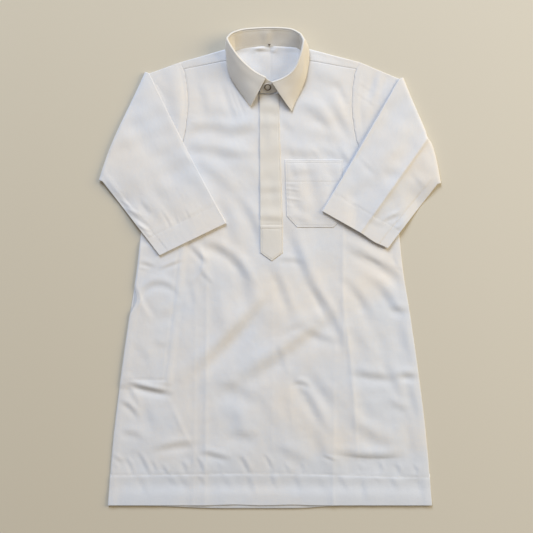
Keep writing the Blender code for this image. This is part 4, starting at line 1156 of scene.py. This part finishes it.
ends = [UNDER_END[1], UNDER_END[0]] + [(s.foot, s.top) for s in COLLAR] + OVER_END
band = smooth_rows([foot + top for foot, top in ends], COLLAR_STEPS)
foot, top = band[:, :3], band[:, 3:]
up_band = graded(0.0, 1.0, 24, [(0.0, 0.1, 1.0), (1.0, 0.1, 1.0)])[:, None, None]
stand_points = foot * (1.0 - up_band) + top * up_band
stand_out = unit(np.cross(top - foot, np.gradient(top, axis=0)))
stand_run = run_length(top)
dent = 0.15 * (bell(up_band * STAND_HEIGHT - 3.0, 0.8) + bell(up_band * STAND_HEIGHT - 23.0, 0.8))
wave = 0.32 * ripple(stand_run[None, :], STAND_HEIGHT * up_band[..., 0], 21.0, 41, angle=90, stretch=2.5)
at_back = ramp(foot[None, :, 1], 286.0, 292.0)
wave = wave + at_back * (0.9 * bell(foot[None, :, 0] - 4.0, 5.0) - 0.7 * bell(foot[None, :, 0] + 6.0, 4.5))
stand_points = stand_points + stand_out * (wave[..., None] * np.sin(math.pi * up_band) + dent)
flat = np.stack(np.broadcast_arrays(stand_run[None, :], STAND_HEIGHT * up_band[..., 0]), axis=-1)
stand = grid_piece("collar_stand_cloth", stand_points, flat, collar_white, COLLAR_WALL, rim=0.3)

# %% The collar's leaf
leaf_line = smooth_rows([s.edge + (s.bow,) for s in COLLAR], COLLAR_STEPS)
leaf_edge, leaf_bow = leaf_line[:, :3], leaf_line[:, 3:]
first = len(UNDER_END) * COLLAR_STEPS
leaf_foot, leaf_top = (part[first:first + len(leaf_edge)] for part in (foot, top))
round_neck = unit(np.gradient(leaf_top, axis=0))
leaf_out = unit(np.cross(leaf_top - leaf_foot, round_neck))
leaf_up = unit(np.cross(round_neck, leaf_out))
leaf_start = leaf_top + leaf_up * 0.6
roll = np.radians(np.linspace(0.0, 165.0, 12))[:, None, None]
rows_of_roll = leaf_start + LEAF_ROLL * (leaf_out * (1.0 - np.cos(roll)) + leaf_up * np.sin(roll))
t = graded(0.0, 1.0, 46, [(1.0, 0.08, 1.6)])[:, None, None]
leaf_over = leaf_start + 2.0 * LEAF_ROLL * leaf_out
rows_of_fall = leaf_over * (1 - t) + leaf_edge * t + leaf_out * leaf_bow * 4.0 * t * (1 - t)
leaf_points = np.concatenate([rows_of_roll, rows_of_fall])
leaf_run = run_length(leaf_edge)
fall = np.linalg.norm(leaf_edge - leaf_over, axis=-1)
to_edge = np.minimum((1 - t[..., 0]) * fall, np.minimum(leaf_run, leaf_run[-1] - leaf_run)[None, :])
dents = np.concatenate([np.zeros((len(roll), len(leaf_run))), bell(to_edge - EDGE_STITCH, 0.7)])
down = np.concatenate([np.zeros(len(roll)), t[:, 0, 0]]) * LEAF_FALL
flat = np.stack(np.broadcast_arrays(leaf_run[None, :], down[:, None]), axis=-1)
leaf_wave = 0.25 * ripple(flat[..., 0], flat[..., 1], 38.0, 43) * ramp(flat[..., 1], 2.0, 16.0)
leaf_face = grid_normals(leaf_points)
leaf_face = leaf_face * np.sign(np.sum(leaf_face * leaf_out, axis=-1, keepdims=True))
leaf_points = leaf_points + leaf_face * (leaf_wave - 0.15 * dents)[..., None]
leaf_points[..., 2] = np.maximum(leaf_points[..., 2], COLLAR_WALL / 2 + 0.05)
leaf = grid_piece("collar_leaf_cloth", leaf_points, flat, collar_white, COLLAR_WALL, rim=0.35)

# %% [markdown]
# ## The press snap
# The band closes with a ring snap: a flat brass ring with a rolled rim, through which the cloth shows.
# Its place and tilt are read from the solid's own points: their mean is its centre, and the direction in
# which they spread least is its axis. A profile is then turned round that axis.

# %% Aged brass
brass_make = Finish("aged_brass")
grain = brass_make.noise(900.0, 3.0)
brass_make.feed(base_color=brass_make.blend(grain, (0.05, 0.036, 0.026), (0.24, 0.18, 0.12)),
                roughness=grain * 0.3 + 0.25, metallic=0.9, normal=brass_make.bump(0.3, 0.05, grain))
brass = brass_make.material

# %% The ring
RING_PROFILE = [(3.30, -0.10), (3.42, 0.18), (3.62, 0.34), (3.80, 0.30), (3.95, 0.42), (4.20, 0.60),
                (4.48, 0.56), (4.70, 0.30), (4.74, 0.00), (4.60, -0.30), (4.20, -0.42), (3.60, -0.36)]
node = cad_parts["snap_ring"]
places = np.empty(len(node.data.vertices) * 3)
node.data.vertices.foreach_get("co", places)
places = places.reshape(-1, 3) / MM
centre = places.mean(axis=0)
axes = np.linalg.svd(places - centre, full_matrices=False)[2]
axis = axes[2] * np.sign(axes[2][2])
side_a, side_b = axes[0], np.cross(axis, axes[0])
profile = smooth_rows([(*p,) for p in RING_PROFILE + RING_PROFILE[:1]], 3)
turn = np.linspace(0.0, 2.0 * math.pi, 73)[:, None, None]
ring_points = (centre + profile[:, 0, None] * (np.cos(turn) * side_a + np.sin(turn) * side_b)
               + profile[:, 1, None] * axis)
ring_quads = ring_points[:-1, :-1]


def closed_grid(name, points, finish):
    """A mesh from a grid whose rows and columns both close on themselves."""
    rows, columns = points.shape[:2]
    index = np.arange(rows * columns).reshape(rows, columns)
    right, below = np.roll(index, -1, axis=1), np.roll(index, -1, axis=0)
    faces = np.stack([index, right, np.roll(below, -1, axis=1), below], axis=-1).reshape(-1, 4)
    print(f"{name}: {len(faces)} quads")
    return add_mesh(name, points, faces, finish)


snap = closed_grid("snap_ring_brass", ring_quads, brass)

# %% [markdown]
# ## Stitches
# A row of machine stitches is hundreds of short, fat threads that dip into the cloth at both ends. One
# small capsule of 30 triangles is copied along each line as arrays, and each row becomes one mesh.

# %% One stitch, and a row of them
STITCH_PITCH, STITCH_LENGTH, STITCH_RADIUS = 2.7, 2.0, 0.17


def stitch_shape(sides=5):
    """A capsule along X, 1 long and of radius 1, its ends bent down by a parabola: points and triangles."""
    along = np.array([-0.38, 0.0, 0.38])
    angle = np.arange(sides) * 2 * math.pi / sides
    rings = np.stack(np.broadcast_arrays(along[:, None], np.cos(angle), np.sin(angle)), axis=-1)
    points = np.vstack([rings.reshape(-1, 3), [[-0.5, 0, 0], [0.5, 0, 0]]])
    place = np.arange(3 * sides).reshape(3, sides)
    ahead = np.roll(place, -1, axis=1)
    a, b, c, d = place[:-1], ahead[:-1], ahead[1:], place[1:]
    start, end = 3 * sides, 3 * sides + 1
    faces = np.concatenate([
        np.stack([a, d, c], -1).reshape(-1, 3), np.stack([a, c, b], -1).reshape(-1, 3),
        np.stack([place[0], ahead[0], np.full(sides, start)], -1),
        np.stack([place[-1], np.full(sides, end), ahead[-1]], -1)])
    return points, faces


STITCH_POINTS, STITCH_FACES = stitch_shape()


def stitch_frames(line, normals):
    """Where stitches go on a line: their middles, their directions and the cloth's normals."""
    run = run_length(line)
    at = np.arange(STITCH_PITCH / 2, run[-1], STITCH_PITCH)

    def sampled(values, where):
        return np.stack([np.interp(where, run, values[:, k]) for k in range(3)], axis=-1)

    forward = unit(sampled(line, at + 0.6) - sampled(line, at - 0.6))
    up = sampled(normals, at)
    up = unit(up - forward * np.sum(up * forward, axis=-1, keepdims=True))
    return sampled(line, at), forward, up


def stitch_piece(name, lines, finish):
    """Rows of stitches as one mesh: each stitch is the capsule, turned to its line and laid on the cloth."""
    frames = [stitch_frames(line, normals) for line, normals in lines]
    place, forward, up = (np.concatenate([f[k] for f in frames]) for k in range(3))
    across = np.cross(up, forward)
    x, y, z = STITCH_POINTS.T
    drop = -0.9 * STITCH_RADIUS * (2 * x) ** 2
    points = (place[:, None] + forward[:, None] * (x * STITCH_LENGTH)[:, None]
              + across[:, None] * (y * STITCH_RADIUS)[:, None]
              + up[:, None] * (z * STITCH_RADIUS + drop + 0.3 * STITCH_RADIUS)[:, None])
    offsets = np.arange(len(place))[:, None, None] * len(STITCH_POINTS)
    faces = (STITCH_FACES[None] + offsets).reshape(-1, 3)
    print(f"{name}: {len(place)} stitches")
    return add_mesh(name, points, faces, finish)


def upright(x, y, z):
    """A line on top of the cloth with the normal straight up."""
    line = np.stack(np.broadcast_arrays(x, y, z + WALL / 2), axis=-1).astype(float)
    return line, np.broadcast_to([0.0, 0.0, 1.0], line.shape)


def grid_line(points, rows, columns, wall, face_up=1.0):
    """A line on a grid's outer side, at fractional rows and columns."""
    normals = on_grid(grid_normals(points), rows, columns)
    normals = normals * (np.sign(normals[..., 2:]) * face_up)
    return on_grid(points, rows, columns) + normals * wall / 2, normals

# %% Thread
thread_make = Finish("white_thread")
twist = thread_make.noise(2600.0)
# painted shade: the thread is a little darker and warmer than the cloth, for the dents its stitches pull in;
# the noise is its twist
thread_make.feed(base_color=thread_make.blend(twist, (0.66, 0.63, 0.57), (0.82, 0.79, 0.73)),
                 roughness=0.6, normal=thread_make.bump(0.4, 0.05, twist))
thread = thread_make.material

# %% Rows on the front, the back and the placket
def on_front(x, y, sink=0.0):
    """A line on top of the front, or a little below it."""
    return upright(x, y, front_z(x, y) - sink)


across_hem = np.linspace(-216.5, 216.5, 600)
hem_line = on_front(across_hem, hem_stitch(across_hem))
back_line = np.stack([across_hem, np.full(600, HEM_STITCH_Y), back_z(across_hem, np.full(600, HEM_STITCH_Y))
                      - WALL / 2], axis=-1)
bag_down = np.linspace(BAG_HIGH - 3.0, BAG_LOW + 1.0, 300)
bag_in = read(BAG_INNER, bag_down)
bag_across = np.linspace(-193.0, -144.0, 120)
bag_foot = np.full(120, BAG_LOW)
seams = []
for side in (-1, 1):
    sx = np.linspace(NECK_X + side * 62.0, side * 115.0, 80)
    sy = shoulder_line(sx, SEAM_NECK_Y, SEAM_ARM_Y, SEAM_ARM_Y) + 2.0
    seams.append(on_front(sx, sy))
    ay = np.linspace(266.0, 150.0, 160)
    ax = side * (side_x(ay) - 2.0)
    seams.append(on_front(ax, ay, 0.05))
front_rows = [hem_line, (back_line, np.broadcast_to([0.0, 0.0, -1.0], back_line.shape)),
              on_front(bag_in, bag_down), on_front(bag_across, bag_foot)]
body_stitches = stitch_piece("body_stitches", front_rows + seams, thread)


def on_placket(share, y):
    """A line on top of the placket."""
    x = placket_x(share, y)
    return upright(x, y, placket_z(share, x, y))


def in_from_side(y):
    """The share of the placket's width at its edge stitching."""
    return EDGE_STITCH / (read(PLACKET_RIGHT, y) - read(PLACKET_LEFT, y))


side_y = np.linspace(PLACKET_SHOULDER + 1.2, 226.0, 300)
low_y = np.linspace(PLACKET_BARS[0], PLACKET_SHOULDER + 1.2, 80)
tip_share = np.linspace(0.06, 0.94, 90)
bar_share = np.linspace(0.05, 0.95, 60)
placket_rows = [on_placket(1.0 - in_from_side(side_y), side_y), on_placket(in_from_side(low_y), low_y),
                on_placket(tip_share, placket_tip(tip_share) + EDGE_STITCH / TIP_SLOPE)]
placket_rows += [on_placket(bar_share, np.full(60, bar)) for bar in PLACKET_BARS]
placket_stitches = stitch_piece("placket_stitches", placket_rows, thread)

# %% Rows on the pocket, the cuffs and the collar
def on_pocket(share, y):
    """A line on top of the chest pocket."""
    x = pocket_x(share, y)
    return upright(x, y, pocket_z(share, x, y))


pocket_in = EDGE_STITCH / (POCKET_HIGH[0] - POCKET_LOW[0])
u_share = np.concatenate([np.full(90, pocket_in), np.linspace(pocket_in, 1 - pocket_in, 120),
                          np.full(90, 1 - pocket_in)])
low_left, low_right = (pocket_bottom(np.array(at)) + EDGE_STITCH / CUT_SLOPE
                       for at in (pocket_in, 1 - pocket_in))
u_y = np.concatenate([np.linspace(POCKET_HIGH[1] - 1.0, low_left, 90),
                      pocket_bottom(u_share[90:210]) + EDGE_STITCH / CUT_SLOPE,
                      np.linspace(low_right, POCKET_HIGH[1] - 1.0, 90)])
row_share = np.linspace(0.03, 0.97, 120)
pocket_rows = [on_pocket(u_share, u_y)]
pocket_rows += [on_pocket(row_share, np.full(120, row)) for row in POCKET_ROWS + (POCKET_HEM,)]
pocket_stitches = stitch_piece("pocket_stitches", pocket_rows, thread)

cuff_rows = []
for name, ring in sleeve_grids.items():
    count = len(sleeve_shares)
    columns = np.linspace(1.0, count - 2.0, 400)
    for offset, face_up in ((0, 1.0), (count + len(EDGE_ROUNDS), -1.0)):
        line_at = columns + offset
        cuff_line = on_grid(ring, CUFF_ROW, line_at)
        back_rows = np.arange(UNDER_ROWS - 6.0, CUFF_ROW)[:, None]
        distance = np.linalg.norm(on_grid(ring, back_rows, line_at[None, :]) - cuff_line, axis=-1)
        row_at = np.array([np.interp(-CUFF_DEPTH, -distance[:, k], back_rows[:, 0]) for k in range(400)])
        cuff_rows.append(grid_line(ring, row_at, line_at, WALL, face_up))
    seam_rows = np.linspace(UNDER_ROWS + FOLD_ROWS + 3.0, CUFF_ROW - 2.0, 500)
    low_side, high_side = (on_grid(ring, seam_rows, np.full(500, at)) for at in (count - 1.0, 0.0))
    wide = np.linalg.norm(low_side - high_side, axis=-1)
    seam_at = np.interp(1.0 - SEAM_IN / wide, sleeve_shares, np.arange(count))
    cuff_rows.append(grid_line(ring, seam_rows, seam_at, WALL, 1.0))
cuff_stitches = stitch_piece("cuff_stitches", cuff_rows, thread)

rows_in_leaf = len(roll) + np.interp(1 - EDGE_STITCH / fall, t[:, 0, 0], np.arange(len(t)))
end_in = np.interp([EDGE_STITCH, leaf_run[-1] - EDGE_STITCH], leaf_run, np.arange(len(leaf_run)))
edge_columns = np.linspace(end_in[0], end_in[1], 900)
edge_rows = np.interp(edge_columns, np.arange(len(leaf_run)), rows_in_leaf)


def leaf_row(rows, columns):
    """A line on the leaf's outer face."""
    rows, columns = np.broadcast_arrays(rows, columns)
    normals = on_grid(leaf_face, rows, columns)
    return on_grid(leaf_points, rows, columns) + normals * COLLAR_WALL / 2, unit(normals)


leaf_rows = [leaf_row(edge_rows, edge_columns)]
for column in end_in:
    leaf_rows.append(leaf_row(np.linspace(len(roll) + 2.0, len(leaf_points) - 5.0, 200), column))
stand_face = grid_normals(stand_points)
inner = np.sign(np.sum(stand_face[12] * stand_out, axis=-1, keepdims=True)) * stand_face
stand_columns = np.linspace(2.0, stand_points.shape[1] - 3.0, 1200)
for row in (3.4, 20.6):
    line = on_grid(stand_points, row, stand_columns)
    normals = -unit(on_grid(inner, row, stand_columns))
    leaf_rows.append((line + normals * COLLAR_WALL / 2, normals))
collar_stitches = stitch_piece("collar_stitches", leaf_rows, thread)

# %% [markdown]
# ## A snipped thread
# At the middle of the back neck a small tuft of dark thread is left in the seam.

# %% The tuft
dark_make = Finish("dark_thread")
fuzz = dark_make.noise(2000.0)
dark_make.feed(base_color=dark_make.blend(fuzz, (0.05, 0.035, 0.025), (0.16, 0.11, 0.08)), roughness=0.8)
from_middle = np.abs(stand_points[0, :, 0] + 1.0) + 9 * (stand_points[0, :, 1] < 290)
tuft_at = on_grid(stand_points, 4.0, from_middle.argmin())
loop = np.linspace(0.0, 2.0 * math.pi, 37)[:-1]
# sines of one, two and three turns make a small tangled loop, and a tube of six sides runs round it
knot = tuft_at + np.array([0.0, -1.0, 1.0]) * 0.65 + 0.85 * np.stack(
    [np.sin(loop) + 0.6 * np.sin(2 * loop), 0.9 * np.cos(loop) - 0.9 * np.cos(2 * loop),
     -0.5 * np.sin(3 * loop)], -1)
forward = unit(np.roll(knot, -1, axis=0) - np.roll(knot, 1, axis=0))
side_way = unit(np.cross(forward, [0.3, 0.2, 0.9]))
lift_way = np.cross(side_way, forward)
spin = np.arange(6) * math.pi / 3
tuft_points = (knot[:, None] + 0.38 * (np.cos(spin)[:, None] * side_way[:, None]
                                       + np.sin(spin)[:, None] * lift_way[:, None]))
tuft = closed_grid("thread_tuft", tuft_points[:, ::-1], dark_make.material)

# %% [markdown]
# ## Putting each piece in place of its solid
# Each shell stands for its solid, which is hidden, and rides with its stitches on the one body. The table
# also lists each piece's material slot, the length and width of its flat cloth, and how it is held.

# %% Pieces, slots and flat sizes
# piece, node, slot, flat width and length in mm as measured on the modelled cloth, the share of that
# rectangle that it fills, how it is held, what it rests on and its stitches
Cloth = namedtuple("Cloth", "piece node slot width length share held rests_on stitches")
CLOTHS = [
    Cloth(back, "back_panel", "white_cotton", 437, 687, 0.78, "laid", [], []),
    Cloth(front, "front_panel", "white_cotton", 437, 640, 0.80, "laid", ["back_panel"], [body_stitches]),
    Cloth(bag, "side_pocket_bag", "white_cotton", 76, 174, 0.71, "laid", ["back_panel"], []),
    Cloth(placket, "placket", "collar_cotton", 31, 225, 0.95, "laid", ["front_panel"], [placket_stitches]),
    Cloth(pocket, "chest_pocket", "white_cotton", 78, 91, 0.95, "laid", ["front_panel"], [pocket_stitches]),
    Cloth(sleeve_pieces["right_sleeve"], "right_sleeve", "white_cotton", 366, 314, 0.62, "folded",
          ["front_panel"], [cuff_stitches]),
    Cloth(sleeve_pieces["left_sleeve"], "left_sleeve", "white_cotton", 366, 306, 0.61, "folded",
          ["front_panel"], []),
    Cloth(stand, "collar_stand", "collar_cotton", 303, 24.6, 0.73, "laid", ["front_panel"], []),
    Cloth(leaf, "collar_leaf", "collar_cotton", 307, 49, 0.58, "folded", ["collar_stand"], [collar_stitches]),
]
for cloth in CLOTHS:
    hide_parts(cloth.node)
    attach(cloth.piece, "root")
for cloth in CLOTHS:
    for row in cloth.stitches:
        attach(row, "root")
    cloth.width * MM
    cloth.width * cloth.length * cloth.share * MM * MM
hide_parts("snap_ring")
for piece, slot in ((snap, "snap_metal"), (tuft, "collar_cotton")):
    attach(piece, "root")
print(len(CLOTHS), "cloth pieces declared")

# %% [markdown]
# ## Floor, light and camera
# The floor is plain pale beige, with painted light on it: paler and less yellow towards the right. A
# cool soft lamp shines from above the collar, as a window would, and a warmer, lower one from the
# wearer's left, so that each fold has a cool and a warm side. The sky adds a little warm light. The
# camera looks straight down.

# %% The floor
FLOOR_HALF = 3000.0
floor_make = Finish("pale_floor")
floor_x = floor_make.node("ShaderNodeSeparateXYZ", None,
                          {0: floor_make.node("ShaderNodeTexCoord", None, None, 3)}, 0)
# painted light: the floor's colour gets paler and less yellow towards the right
painted_light_beige = floor_make.blend(floor_x * 1.6 + 0.5, (0.657, 0.599, 0.480), (0.676, 0.636, 0.542))
floor_make.feed(base_color=painted_light_beige, roughness=0.9)
floor_corners = FLOOR_HALF * np.array([(-1, -1, 0), (1, -1, 0), (1, 1, 0), (-1, 1, 0)])
floor = add_mesh("floor", floor_corners, np.array([[0, 1, 2, 3]]), floor_make.material)

# %% The lights
def area_lamp(name, place, size, watts, colour):
    """A square lamp that shines from its place towards the middle of the robe."""
    lamp = bpy.data.lights.new(name, "AREA")
    lamp.size, lamp.energy, lamp.color = size, watts, colour
    made = bpy.data.objects.new(name, lamp)
    made.location = place
    made.rotation_euler = Vector((-place[0], -place[1], -place[2])).to_track_quat("-Z", "Y").to_euler()
    bpy.context.scene.collection.objects.link(made)
    return made


def around(azimuth, elevation, distance):
    """A place at a compass angle from +X, a height angle and a distance, all seen from the robe."""
    a, e = math.radians(azimuth), math.radians(elevation)
    out = distance * math.cos(e)
    return (out * math.cos(a), out * math.sin(a), distance * math.sin(e))


area_lamp("window", around(104, 36, 4.0), 1.9, 142.0, (0.65, 0.765, 0.955))
area_lamp("lamp", around(18, 27, 3.2), 1.8, 72.0, (1.0, 0.83, 0.54))
world = bpy.data.worlds.new("sky")
world.use_nodes = True
world.node_tree.nodes["Background"].inputs["Color"].default_value = (1.0, 0.90, 0.77, 1.0)
world.node_tree.nodes["Background"].inputs["Strength"].default_value = 0.25
bpy.context.scene.world = world
bpy.context.scene.view_settings.view_transform = "Standard"
bpy.context.scene.view_settings.look = "None"

# %% The camera
LENS, SENSOR, VIEW_WIDTH = 75.0, 36.0, 719.6 * MM
camera_data = bpy.data.cameras.new("camera")
camera_data.lens, camera_data.sensor_width = LENS, SENSOR
camera = bpy.data.objects.new("camera", camera_data)
camera.location = (-4.7 * MM, 0.9 * MM, VIEW_WIDTH * LENS / SENSOR + 3.0 * MM)
bpy.context.scene.collection.objects.link(camera)
bpy.context.scene.camera = camera
print("camera height", round(camera.location.z, 3), "m")
